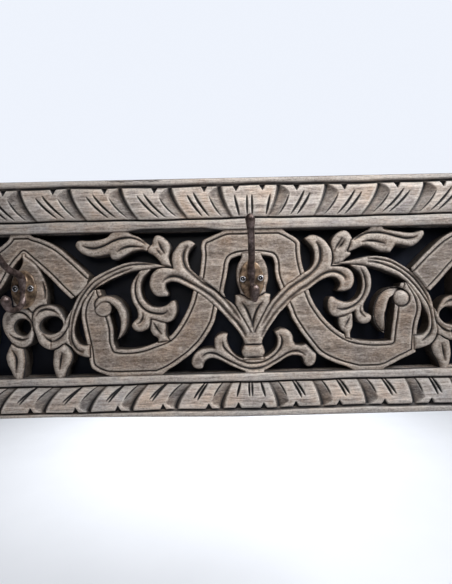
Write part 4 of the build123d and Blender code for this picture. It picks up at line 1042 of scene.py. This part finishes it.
def solid_from(name, relief, columns, back, rectangular=False):
    """A closed piece: the relief's front, walls along its rim and a flat back at this depth."""
    rows, faces = front_of(relief, columns)
    rim = edge_pairs(faces)
    points = np.stack([rows[:, 0], -rows[:, 1], rows[:, 2]], axis=1)
    normals = unit(np.stack([-rows[:, 3], -np.ones(len(rows)), -rows[:, 4]], axis=1))
    around, where = np.unique(rim, return_inverse=True)
    where = where.reshape(rim.shape)
    step = points[rim[:, 1]] - points[rim[:, 0]]
    outward = np.stack([step[:, 2], np.zeros(len(step)), -step[:, 0]], axis=1)
    wall_normals = np.zeros((len(around), 3))
    for end in (0, 1):
        np.add.at(wall_normals, where[:, end], unit(outward))
    top = points[around]
    bottom = top * (1, 0, 1) - (0, back, 0)
    n, m = len(points), len(around)
    walls = np.stack([n + where[:, 1], n + where[:, 0], n + m + where[:, 0], n + m + where[:, 1]], axis=1)
    all_points = [points, top, bottom]
    all_normals = [normals, unit(wall_normals), unit(wall_normals)]
    if rectangular:
        count_z = len(relief.z)

        def bottom_of(i, j):
            return n + m + np.searchsorted(around, i * count_z + j)

        back_faces = strip_back(len(relief.x[columns]), count_z, bottom_of)
        behind = 0
    else:
        all_points.append(points * (1, 0, 1) - (0, back, 0))
        all_normals.append(np.tile((0.0, 1.0, 0.0), (n, 1)))
        back_faces = [n + 2 * m + f[:, ::-1] for f in faces]
        behind = n
    faces = faces + back_faces
    hollow = [rows[:, 5], np.full(2 * m + behind, WALL_CAVITY)]
    walled = np.concatenate([top, bottom])
    # Painted shade: the frame members' walls that face the opening are painted near black
    if rectangular:
        walled_opening_shade, painted_wall_shade = OPENING_SHADE * in_opening(walled[:, 0], walled[:, 2]), np.zeros(2 * m)
    else:
        walled_opening_shade, painted_wall_shade = np.zeros(2 * m), np.ones(2 * m)
    stain_and_shade = np.concatenate([rows[:, 6], walled_opening_shade, np.zeros(behind)])
    # The side attribute marks the carved board's walls for painted wall shade
    side = np.concatenate([np.zeros(n), painted_wall_shade, np.zeros(behind)])
    return make_mesh(name, np.vstack(all_points), faces + [walls], np.vstack(all_normals),
                     {"cavity": np.concatenate(hollow), "stain_and_shade": stain_and_shade, "side": side})


NARROWED = 5.5
NARROWING = (-20, -250)  # where the bottom rail's slow narrowing starts and where it is complete
RISE = 3.4
RISE_START = -160
RISE_END = -35
RISE_RUN = 25  # over how long the top rail's edge goes up or comes down
EDGE_WIDTH = 11  # how much of a rail moves with its edge
CLOSE = 0.001 * MM  # points nearer than this are one


def drift(piece, outer, inner):
    """Hand work: the bottom rail narrows to the left, and the top rail's opening rises a little."""
    co = vertices_of(piece.data)
    x, _, z = co.T / MM
    if outer < 0:
        start, end = NARROWING
        edge, move = outer, NARROWED * np.clip((start - x) / (start - end), 0, 1)
    else:
        up = np.clip((x - RISE_START) / RISE_RUN, 0, 1)
        down = np.clip((RISE_END - x) / RISE_RUN, 0, 1)
        edge, move = inner, RISE * up * down
    co[:, 2] += move * np.clip(1 - (z - edge) / EDGE_WIDTH, 0, 1) * MM
    piece.data.vertices.foreach_set("co", co.reshape(-1))


def in_pieces(name, relief, back, count, rectangular=False):
    """A long relief as several pieces side by side, which share the vertices at their ends."""
    bounds = np.linspace(0, len(relief.x) - 1, count + 1).round().astype(int)
    spans = zip(bounds[:-1], bounds[1:])
    return [solid_from(f"{name}_{i + 1}", relief, slice(start, end + 1), back, rectangular)
            for i, (start, end) in enumerate(spans)]


def cut_across(form, place, normal, **settings):
    """Cut a bmesh along a plane through a place, given in millimetres."""
    everything = form.verts[:] + form.edges[:] + form.faces[:]
    bmesh.ops.bisect_plane(form, geom=everything, dist=CLOSE, plane_co=Vector(place) * MM,
                           plane_no=normal, **settings)


def plain_back(node):
    """The back of a frame member, with its seats and pockets, up to the plane of the carved front.

    It gets points where the bottom rail's narrowing starts and ends, so that it can follow that.
    """
    form = bmesh.new()
    form.from_mesh(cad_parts[node].data)
    bmesh.ops.remove_doubles(form, verts=form.verts, dist=CLOSE)
    cut_across(form, (0, -RAIL_SPLIT, 0), (0, -1, 0), clear_outer=True)
    rim = [edge for edge in form.edges if edge.is_boundary]
    bmesh.ops.triangle_fill(form, edges=rim, use_beauty=True, use_dissolve=False)
    for place in NARROWING:
        cut_across(form, (place, 0, 0), (1, 0, 0))
    bmesh.ops.recalc_face_normals(form, faces=form.faces)
    mesh = mesh_of(form, f"{node}_back")
    x, _, z = vertices_of(mesh).T / MM
    # The back's sides towards the opening get painted shade
    for key, values in (("cavity", 0 * x), ("stain_and_shade", OPENING_SHADE * in_opening(x, z)), ("side", 0 * x)):
        add_attribute(mesh, key, values)
    return new_object(f"{node}_back", mesh)


# ---- hooks --------------------------------------------------------------------------------------

# Where the hooks stand: X and Z between the screws, and lean in degrees, as on the frame
HOOKS = {"left": (-286.9, 17.3, 0.0), "centre": (1.3, 23.2, 2.2), "right": (288.9, 17.3, 0.0)}
TIP_BEND = {"left": 0.0, "centre": -3.5, "right": 0.0}  # how far an upper bar bends sideways
PLATE = (16.0, 24.5, 3.0)  # half width, half height, thickness
PLATE_DROP = 1.2
# Bars as (projection, height, radius), with the knob as a swelling at the end
UPPER_BAR = [
    (-2, -14, 3.0), (1.0, -4, 4.8), (3.5, 7, 5.0), (10, 15.2, 4.6), (22, 18.8, 4.3), (35, 21.9, 4.1),
    (46, 27, 4.0), (56, 34.5, 4.0), (66, 43, 4.0), (73, 50, 4.1), (76.5, 55.5, 4.5), (78.6, 60, 5.3),
    (80.2, 64, 4.8), (81.5, 67.2, 1.8)]
LOWER_BAR = [
    (-2, 8, 2.6), (1.5, -4, 3.9), (3, -13.0, 4.2), (8.5, -20.6, 4.0), (18, -24.8, 3.7),
    (28, -26.3, 3.5), (36, -24.8, 3.7), (40.5, -20.5, 4.7), (42.8, -16.3, 5.7), (44.8, -12.3, 5.0),
    (46.5, -9.0, 2.0)]
HOOK_VOXEL = 0.6
RING_POINTS = 24
PLATE_POINTS = 64
BEND_POWER = 1.5
# The plate from its back to its face, as (share of its size, share of its thickness)
PLATE_PROFILE = [
    (1.0, 0.0), (1.0, 0.45), (0.97, 0.75), (0.9, 0.95), (0.75, 1.0), (0.45, 1.1), (0.2, 1.15)]
# A screw from its tip to its head, as (height above the plate, radius): a ring round a hollow
SCREW_PROFILE = [
    (-14.0, 0.3), (-11.0, 1.9), (0.0, 1.9), (0.0, 4.0), (1.1, 4.0), (1.9, 3.6), (2.2, 2.9),
    (1.9, 2.3), (0.7, 1.9), (0.6, 1.1), (1.3, 0.75), (1.45, 0.35)]
SCREW_RECESS = SCREW_PROFILE[7:10]
SCREW_SPACING = {"left": 19.2, "centre": 22.5, "right": 19.2}
# Softening of a casting, and the slow waves that keep it from being quite true
SOFTENING = (0.5, 8)  # share and number of rounds
WAVES = 6
WAVE_HEIGHT = 0.05
WAVE_RATES = (0.1, 0.35)  # radians per millimetre
LARGEST_PHASE = 6.3


def circle(count):
    """The cosine and sine of each of so many even steps round a circle."""
    turns = (2 * math.pi * k / count for k in range(count))
    return [(math.cos(turn), math.sin(turn)) for turn in turns]


def skin(form, rings):
    """A closed form over rings of points, which all have the same number of points."""
    rings = [[form.verts.new(point) for point in ring] for ring in rings]
    for first, second in zip(rings[:-1], rings[1:]):
        for k, start in enumerate(first):
            after = (k + 1) % len(first)
            form.faces.new((start, first[after], second[after], second[k]))
    form.faces.new(rings[0][::-1])
    form.faces.new(rings[-1])


def add_bar(form, points, bend=0.0):
    """A round bar along a smooth line of (projection, height), its radius following along."""
    fine = smooth_line(points)
    rings = []
    for i, (out, up, radius) in enumerate(fine):
        ahead = fine[min(i + 1, len(fine) - 1), :2] - fine[max(i - 1, 0), :2]
        out_step, up_step = ahead / np.linalg.norm(ahead)
        aside = bend * max(out / points[-1][0], 0)**BEND_POWER
        rings.append([(aside + radius * c, -(out - up_step * radius * s), up + out_step * radius * s)
                      for c, s in circle(RING_POINTS)])
    skin(form, rings)


def add_plate(form):
    """An oval plate, domed towards a rounded rim."""
    half_width, half_height, thick = PLATE
    skin(form, [[(size * half_width * c, -level * thick, size * half_height * s - PLATE_DROP)
                 for c, s in circle(PLATE_POINTS)] for size, level in PLATE_PROFILE])


def hook_frame(name):
    """The place of a hook on its board, from millimetres about its own middle."""
    x, z, lean = HOOKS[name]
    return (Matrix.Translation((x * MM, -SCROLL_FRONT * MM, z * MM))
            @ Matrix.Rotation(math.radians(-lean), 4, "Y") @ Matrix.Scale(MM, 4))


def place_on_hook(mesh, name):
    """Move a mesh to its place on a hook, and shade it smoothly."""
    mesh.transform(hook_frame(name))
    for polygon in mesh.polygons:
        polygon.use_smooth = True


def make_screw(name, screw):
    """A turned screw, with painted shade in the recess of its head."""
    form = bmesh.new()
    across = (-1 if screw == "a" else 1) * SCREW_SPACING[name] / 2
    skin(form, [[(across + radius * c, -(PLATE[2] + level), radius * s) for c, s in circle(RING_POINTS)]
                for level, radius in SCREW_PROFILE])
    bmesh.ops.recalc_face_normals(form, faces=form.faces)
    mesh = mesh_of(form, f"{name}_ring_screw_{screw}")
    # Painted shade: the recess in the head is painted near black
    recess_shade = [ring in SCREW_RECESS for ring in SCREW_PROFILE for _ in range(RING_POINTS)]
    add_attribute(mesh, "stain_and_shade", recess_shade)
    place_on_hook(mesh, name)
    return new_object(mesh.name, mesh)


def make_hook(name):
    """A cast hook: the plate and the two bars fused and softened where they meet."""
    form = bmesh.new()
    add_plate(form)
    add_bar(form, UPPER_BAR, TIP_BEND[name])
    add_bar(form, LOWER_BAR)
    bmesh.ops.recalc_face_normals(form, faces=form.faces)
    piece = new_object(f"{name}_hook_cast", mesh_of(form, f"{name}_hook_cast"))
    fuse = piece.modifiers.new("fuse", "REMESH")
    fuse.mode = "VOXEL"
    fuse.voxel_size = HOOK_VOXEL
    soften = piece.modifiers.new("soften", "SMOOTH")
    soften.factor, soften.iterations = SOFTENING
    graph = bpy.context.evaluated_depsgraph_get()
    fused = bpy.data.meshes.new_from_object(piece.evaluated_get(graph))
    piece.modifiers.clear()
    piece.data = fused
    rng = np.random.default_rng(SEED + len(name))
    co = vertices_of(fused)
    for _ in range(WAVES):
        wave, phase = rng.uniform(*WAVE_RATES, 3), rng.uniform(0, LARGEST_PHASE)
        co += WAVE_HEIGHT * np.sin(co @ wave + phase)[:, None] * (1, 0, 1)
    co[:, 1] = np.minimum(co[:, 1], 0)
    fused.vertices.foreach_set("co", co.reshape(-1))
    place_on_hook(fused, name)
    return piece


# ---- materials ------------------------------------------------------------------------------------

PER_MM = 1 / MM


class Shader:
    """A node material, built up from its Principled BSDF."""

    def __init__(self, name, **constants):
        self.material = bpy.data.materials.new(name)
        self.material.use_nodes = True
        self.tree = self.material.node_tree
        self.surface = self.tree.nodes["Principled BSDF"]
        for key, value in constants.items():
            self.surface.inputs[key.replace("_", " ")].default_value = value

    def add(self, kind, inputs=(), **settings):
        """A node with its settings and its inputs, each a number, a colour or another node's output."""
        node = self.tree.nodes.new(f"ShaderNode{kind}")
        for key, value in settings.items():
            setattr(node, key, value)
        for key, value in dict(inputs).items():
            if isinstance(value, bpy.types.NodeSocket):
                self.tree.links.new(value, node.inputs[key])
            else:
                node.inputs[key].default_value = value
        return node

    def place(self, scale):
        """Object coordinates in millimetres, multiplied by a scale for each axis."""
        coordinates = self.add("TexCoord").outputs["Object"]
        scales = [PER_MM * part for part in scale]
        return self.add("Mapping", {"Vector": coordinates, "Scale": scales}).outputs["Vector"]

    def noise(self, scale, detail=4.0, roughness=0.55, distortion=0.0):
        """Noise with this many features per millimetre, along all axes or along each one."""
        scale = scale if isinstance(scale, list) else [scale] * 3
        inputs = {"Vector": self.place(scale), "Scale": 1.0, "Detail": detail,
                  "Roughness": roughness, "Distortion": distortion}
        return self.add("TexNoise", inputs).outputs["Fac"]

    def attribute(self, name):
        return self.add("Attribute", attribute_name=name).outputs["Fac"]

    def span(self, value, low, high, to_low=0.0, to_high=1.0):
        """A smooth step of the value from low to high."""
        inputs = {"Value": value, "From Min": low, "From Max": high, "To Min": to_low, "To Max": to_high}
        return self.add("MapRange", inputs, interpolation_type="SMOOTHSTEP").outputs["Result"]

    def math(self, operation, first, second):
        return self.add("Math", {0: first, 1: second}, operation=operation).outputs[0]

    def times(self, first, second):
        return self.math("MULTIPLY", first, second)

    def weigh(self, *pairs):
        """The sum of some values, each times its weight."""
        total, *others = [self.times(value, weight) for value, weight in pairs]
        for part in others:
            total = self.math("ADD", total, part)
        return total

    def mix(self, share, first, second, blend="MIX"):
        """A colour between the first and the second, by a share that is a number or an output."""
        node = self.add("Mix", data_type="RGBA", blend_type=blend)
        for socket, value in ((node.inputs[0], share), (node.inputs[6], first), (node.inputs[7], second)):
            if isinstance(value, bpy.types.NodeSocket):
                self.tree.links.new(value, socket)
            else:
                socket.default_value = value if socket == node.inputs[0] else (*value, 1.0)
        return node.outputs[2]

    def ramp(self, value, stops):
        """A colour read off a ramp of (position, colour) stops."""
        node = self.add("ValToRGB", {"Fac": value})
        elements = node.color_ramp.elements
        while len(elements) < len(stops):
            elements.new(0.5)
        for element, (position, colour) in zip(elements, stops):
            element.position = position
            element.color = (*colour, 1.0)
        return node.outputs["Color"]

    def finish(self, colour, roughness=None, height=None, bump=0.5, bump_depth=0.3):
        """Connect the colour, the roughness and a bump whose height is this many millimetres."""
        self.tree.links.new(colour, self.surface.inputs["Base Color"])
        if roughness is not None:
            self.tree.links.new(roughness, self.surface.inputs["Roughness"])
        if height is not None:
            inputs = {"Height": height, "Strength": bump, "Distance": bump_depth * MM}
            node = self.add("Bump", inputs)
            self.tree.links.new(node.outputs["Normal"], self.surface.inputs["Normal"])
        return self.material


# Near black: painted shade in cuts, hollows, recesses and on walls that face the opening, with some dark
# stain in the wood's cuts
STAIN_AND_SHADE_COLOUR = (0.012, 0.012, 0.014)
# Brown in the hollows: grime, and painted shade
DIRT_AND_SHADE = (0.050, 0.034, 0.025)
# Features per millimetre across the grain: fibres, figure and pores, then blotches and specks
FIBRE_RATE = 0.55
FIGURE_RATE = 0.14
PORE_RATE = 2.6
PORE_STREAK = 0.09
BLOTCH_RATE = 0.025
SPECK_RATE = 0.4
BLOTCH_TINTS = [(0.32, (0.72, 0.76, 0.84)), (0.48, (0.98, 0.98, 1.0)), (0.66, (1.12, 0.98, 0.87))]
BLOTCH_SHARE = 0.9
DIRT_AND_SHADE_SHARE = 0.7


def wood(name, grain, streak, stops, pale, wall_shade_tone, crest_wear_and_highlight_share, stain_and_shade_from, stain_and_shade_to):
    """Weathered wood: grain along one axis, near black in the cuts as dark stain and painted shade,
    and paler on the crests as wear and a painted highlight.

    The grain is stretched by one over the streak. The stops colour it, the pale colour is for
    scratches and crests, and the side tone is painted shade on walls. Dark stain and painted
    shade fill hollows of a depth between the last two arguments.
    """
    shader = Shader(name, IOR=1.45)

    def along(across, stretch):
        return [across * (stretch if axis == grain else 1.0) for axis in "XYZ"]

    fibre = shader.noise(along(FIBRE_RATE, streak), detail=6, roughness=0.72, distortion=0.4)
    figure = shader.noise(along(FIGURE_RATE, streak / 2), detail=3, roughness=0.5, distortion=0.8)
    pores = shader.noise(along(PORE_RATE, PORE_STREAK), detail=3, roughness=0.6)
    blotch = shader.noise(BLOTCH_RATE, detail=5, roughness=0.65)
    speck = shader.noise(SPECK_RATE, detail=5, roughness=0.75)
    hollow = shader.attribute("cavity")
    body = shader.weigh((fibre, 0.5), (figure, 0.3), (speck, 0.2))
    colour = shader.ramp(body, stops)
    colour = shader.mix(BLOTCH_SHARE, colour, shader.ramp(blotch, BLOTCH_TINTS), "MULTIPLY")
    scratch = shader.times(shader.span(pores, 0.56, 0.68), shader.span(blotch, 0.4, 0.6, 0.1, 0.5))
    colour = shader.mix(scratch, colour, pale)
    # Crests are painted paler: partly wear, partly a painted highlight
    crest_wear_and_highlight = shader.times(shader.span(hollow, -0.12, -0.75), shader.span(speck, 0.35, 0.6, 0.25, 1.0))
    colour = shader.mix(shader.times(crest_wear_and_highlight, crest_wear_and_highlight_share), colour, pale)
    # Hollows are painted browner: partly grime, partly painted shade
    dirt_and_shade = shader.span(shader.weigh((hollow, 1.0), (speck, 0.6)), 0.3, 1.3)
    colour = shader.mix(shader.times(dirt_and_shade, DIRT_AND_SHADE_SHARE), colour, DIRT_AND_SHADE)
    # Walls of the carved board get painted shade
    side = shader.times(shader.attribute("side"), shader.span(speck, 0.2, 0.7, 0.7, 0.97))
    colour = shader.mix(side, colour, wall_shade_tone)
    # Deeper hollows and the places the mesh marks are painted near black: painted shade, with some dark
    # stain in the cuts
    stain_and_shade_mask = shader.math("MAXIMUM", shader.span(hollow, stain_and_shade_from, stain_and_shade_to), shader.attribute("stain_and_shade"))
    colour = shader.mix(stain_and_shade_mask, colour, STAIN_AND_SHADE_COLOUR)
    roughness = shader.span(body, 0.35, 0.65, 0.75, 0.55)
    height = shader.weigh((fibre, 0.6), (pores, 0.4), (speck, 0.35))
    return shader.finish(colour, roughness, height, bump=0.6, bump_depth=0.5)


IRON_DARK = [(0.36, (0.030, 0.020, 0.018)), (0.5, (0.095, 0.066, 0.060)), (0.64, (0.22, 0.165, 0.155))]
IRON_GOLD = [(0.36, (0.045, 0.030, 0.021)), (0.48, (0.15, 0.102, 0.070)), (0.64, (0.36, 0.25, 0.165))]
GOLD_REACH = (5.4, 4.2)  # in front of the wood, where the gold starts and where it is full


def hook_metal():
    """Dark cast iron, rubbed violet-grey along the bars and rusty gold on the plate."""
    shader = Shader("hook_iron", Metallic=0.65)
    patch = shader.noise(0.12, detail=5, roughness=0.65)
    grit = shader.noise(0.9, detail=4, roughness=0.7)
    split = shader.add("SeparateXYZ", {0: shader.place([1, 1, 1])})
    start, full = (-(SCROLL_FRONT + out) for out in GOLD_REACH)
    near_wood = shader.span(split.outputs["Y"], start, full)
    colour = shader.mix(near_wood, shader.ramp(patch, IRON_DARK), shader.ramp(patch, IRON_GOLD))
    roughness = shader.span(grit, 0.3, 0.7, 0.34, 0.54)
    return shader.finish(colour, roughness, grit, bump=0.4, bump_depth=0.25)


def plated_metal(name, bright, dull, rough):
    """Plated steel with dulled patches."""
    shader = Shader(name, Metallic=1.0)
    patch = shader.noise(0.4, detail=4, roughness=0.6)
    scratch = shader.noise([0.2, 2.5, 2.5], detail=3, roughness=0.6)
    colour = shader.ramp(patch, [(0.35, dull), (0.62, bright)])
    # Painted shade: near black where a mesh marks it, such as the recess of a screw head
    colour = shader.mix(shader.attribute("stain_and_shade"), colour, STAIN_AND_SHADE_COLOUR)
    roughness = shader.span(scratch, 0.3, 0.7, rough, rough + 0.25)
    return shader.finish(colour, roughness, scratch, bump=0.25, bump_depth=0.08)


def backing_paint():
    """Near-black blue paint on the backing board, satin, with brush marks."""
    shader = Shader("navy_paint", IOR=1.35)
    brush = shader.noise([0.02, 0.8, 0.8], detail=4, roughness=0.6)
    cloud = shader.noise(0.012, detail=3, roughness=0.5)
    colour = shader.ramp(cloud, [(0.35, (0.0015, 0.002, 0.005)), (0.65, (0.006, 0.009, 0.020))])
    roughness = shader.span(brush, 0.3, 0.7, 0.32, 0.5)
    return shader.finish(colour, roughness, brush, bump=0.3, bump_depth=0.12)


def floor_paint(colour):
    """The studio floor: pale, with the faintest mottling."""
    shader = Shader("floor_paint", Roughness=0.9)
    mottle = shader.noise(0.004, detail=2)
    low = [0.97 * part for part in colour]
    return shader.finish(shader.ramp(mottle, [(0.3, low), (0.7, colour)]))


CARVED_STOPS = [(0.38, (0.080, 0.057, 0.044)), (0.46, (0.175, 0.134, 0.106)),
                (0.53, (0.290, 0.237, 0.198)), (0.62, (0.53, 0.455, 0.39))]
RAIL_STOPS = [(0.38, (0.105, 0.083, 0.072)), (0.45, (0.29, 0.240, 0.210)),
              (0.52, (0.50, 0.435, 0.385)), (0.61, (0.80, 0.73, 0.67))]
# What the rails and stiles share: pale colour, side tone (painted wall shade), share of the paler crests
# (wear and painted highlight), and where the dark stain and painted shade in hollows starts and is full
RAIL_LOOK = ((0.72, 0.67, 0.62), (0.030, 0.024, 0.020), 0.5, 0.8, 1.9)
carved_wood = wood("carved_wood", "X", 0.28, CARVED_STOPS, (0.60, 0.53, 0.47), (0.022, 0.016, 0.012),
                   0.6, 0.85, 2.1)
rail_wood = wood("rail_wood", "X", 0.10, RAIL_STOPS, *RAIL_LOOK)
stile_wood = wood("stile_wood", "Z", 0.10, RAIL_STOPS, *RAIL_LOOK)
iron = hook_metal()
screw_steel = plated_metal("screw_steel", (0.62, 0.62, 0.66), (0.30, 0.28, 0.28), 0.22)
hanger_steel = plated_metal("hanger_steel", (0.66, 0.64, 0.58), (0.45, 0.42, 0.36), 0.3)


# ---- the object -------------------------------------------------------------------------------------

def set_up(piece, material, slot, *nodes):
    """Give a new piece its material and body, and hide the CAD nodes it stands for.

    The slot is not used.
    """
    piece.data.materials.clear()
    piece.data.materials.append(material)
    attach(piece, "root")
    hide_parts(*nodes)


def dress(node, material):
    """Put a material on a CAD node that stays as it is."""
    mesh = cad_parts[node].data
    mesh.materials.clear()
    mesh.materials.append(material)


FRET_PIECES = 7
RAIL_PIECES = 2
CRACK = (-187, -103, 150.4)  # its two ends along the top rail, and its height

for piece in in_pieces("fret", carve_fret(), BACKING_FRONT, FRET_PIECES):
    set_up(piece, carved_wood, "carved_wood", "fret_panel")

EDGES = {"top_rail": (TOP_EDGE, TOP_INNER), "bottom_rail": (BOTTOM_EDGE, BOTTOM_INNER)}
RAILS = {
    "top_rail": carve_rail(TOP_EDGE, TOP_INNER, TOP_FILLETS, TOP_BAND),
    "bottom_rail": carve_rail(BOTTOM_EDGE, BOTTOM_INNER, BOTTOM_FILLETS, BOTTOM_BAND),
}
crack(RAILS["top_rail"], *CRACK)
for name, relief in RAILS.items():
    for piece in in_pieces(name + "_front", relief, RAIL_SPLIT, RAIL_PIECES, rectangular=True):
        drift(piece, *EDGES[name])
        set_up(piece, rail_wood, "rail_wood", name)
    back = plain_back(name)
    if name == "bottom_rail":
        drift(back, *EDGES[name])
    set_up(back, rail_wood, "rail_wood", name)
for name, side in (("left_stile", -1), ("right_stile", 1)):
    (front,) = in_pieces(name + "_front", carve_stile(side), RAIL_SPLIT, 1, rectangular=True)
    set_up(front, stile_wood, "rail_wood", name)
    set_up(plain_back(name), stile_wood, "rail_wood", name)

for name in HOOKS:
    set_up(make_hook(name), iron, "hook_metal", f"{name}_hook")
    for screw in "ab":
        set_up(make_screw(name, screw), screw_steel, "screw_metal", f"{name}_hook_screw_{screw}")
for side in ("left", "right"):
    dress(f"{side}_hanger_plate", hanger_steel)
    dress(f"{side}_hanger_screws", hanger_steel)
dress("backing_pins", hanger_steel)
dress("backing_board", backing_paint())


# ---- floor, light and camera --------------------------------------------------------------------------

FLOOR_DROP = 0.75
FLOOR_REACH = 2.4
FLOOR_COLOUR = (0.80, 0.81, 0.84)
BACKDROP = (0.86, 0.90, 0.98)
AMBIENT = (0.022, 0.024, 0.028)
# Lamps as (kind, name, place, target, watts, colour, settings), in metres
LAMPS = [
    ("AREA", "window", (0.95, -0.55, 0.85), (0.0, 0, 0.05), 20.0, (0.93, 0.97, 1.0),
     {"shape": "RECTANGLE", "size": 0.45, "size_y": 0.45}),
    ("AREA", "room", (-0.2, -1.9, 0.9), (0, 0, 0), 8.0, (1.0, 0.95, 0.90),
     {"shape": "RECTANGLE", "size": 1.0, "size_y": 0.8}),
    ("AREA", "sky", (0.0, 0.0, 2.2), (0, 0.001, 0), 24.0, (0.95, 0.97, 1.0),
     {"shape": "RECTANGLE", "size": 4.0, "size_y": 4.0}),
    ("SPOT", "lamp", (0.1, -0.55, 0.6), (0.02, -0.03, 0.09), 15.0, (1.0, 0.94, 0.87),
     {"spot_size": math.radians(36.0), "spot_blend": 1.0, "shadow_soft_size": 0.15}),
    ("AREA", "behind", (0.0, 1.8, 0.9), (0, 1.4, -FLOOR_DROP), 48.0, (0.95, 0.97, 1.0),
     {"shape": "RECTANGLE", "size": 1.6, "size_y": 1.0}),
]


def make_floor():
    """A pale floor well below the rack, small enough that its far edge stays lit."""
    form = bmesh.new()
    bmesh.ops.create_grid(form, x_segments=4, y_segments=4, size=FLOOR_REACH)
    floor = new_object("floor", mesh_of(form, "floor"))
    floor.location.z = -FLOOR_DROP
    floor.data.materials.append(floor_paint(FLOOR_COLOUR))


def make_lamp(kind, name, place, target, power, colour, settings):
    """A lamp at a place, aimed at its target."""
    light = bpy.data.lights.new(name, kind)
    light.energy = power
    light.color = colour
    for key, value in settings.items():
        setattr(light, key, value)
    lamp = new_object(name, light)
    lamp.location = place
    lamp.rotation_euler = (Vector(target) - Vector(place)).to_track_quat("-Z", "Y").to_euler()


def make_world(seen, ambient):
    """A pale backdrop for the eye, and a weaker light of the same kind for the surfaces."""
    world = bpy.data.worlds.new("studio")
    world.use_nodes = True
    tree = world.node_tree
    tree.nodes.clear()
    path = tree.nodes.new("ShaderNodeLightPath")
    mix = tree.nodes.new("ShaderNodeMixShader")
    out = tree.nodes.new("ShaderNodeOutputWorld")
    tree.links.new(path.outputs["Is Camera Ray"], mix.inputs[0])
    for socket, colour in ((mix.inputs[1], ambient), (mix.inputs[2], seen)):
        background = tree.nodes.new("ShaderNodeBackground")
        background.inputs["Color"].default_value = (*colour, 1.0)
        tree.links.new(background.outputs[0], socket)
    tree.links.new(mix.outputs[0], out.inputs[0])
    bpy.context.scene.world = world


# The camera, with its place in metres and its turns in degrees
CAMERA_PLACE = (-0.03645, -0.532, 0.00689)
CAMERA_YAW = 0.566
CAMERA_ROLL = 1.393
CAMERA_LENS = 24.35
CAMERA_SENSOR = 36.0


def make_camera():
    """The camera stands close in front of the rack, a little left of its middle."""
    camera = new_object("camera", bpy.data.cameras.new("camera"))
    camera.data.sensor_width = CAMERA_SENSOR
    camera.data.lens = CAMERA_LENS
    yaw, roll = math.radians(CAMERA_YAW), math.radians(CAMERA_ROLL)
    level = Vector((math.cos(yaw), -math.sin(yaw), 0))
    up = Vector((0, 0, 1))
    forward = Vector((math.sin(yaw), math.cos(yaw), 0))
    across = math.cos(roll) * level - math.sin(roll) * up
    top = math.sin(roll) * level + math.cos(roll) * up
    axes = Matrix((across, top, -forward)).transposed()
    camera.matrix_world = Matrix.Translation(CAMERA_PLACE) @ axes.to_4x4()
    bpy.context.scene.camera = camera


make_floor()
make_world(BACKDROP, AMBIENT)
for lamp in LAMPS:
    make_lamp(*lamp)
make_camera()
bpy.context.scene.view_settings.view_transform = "Standard"
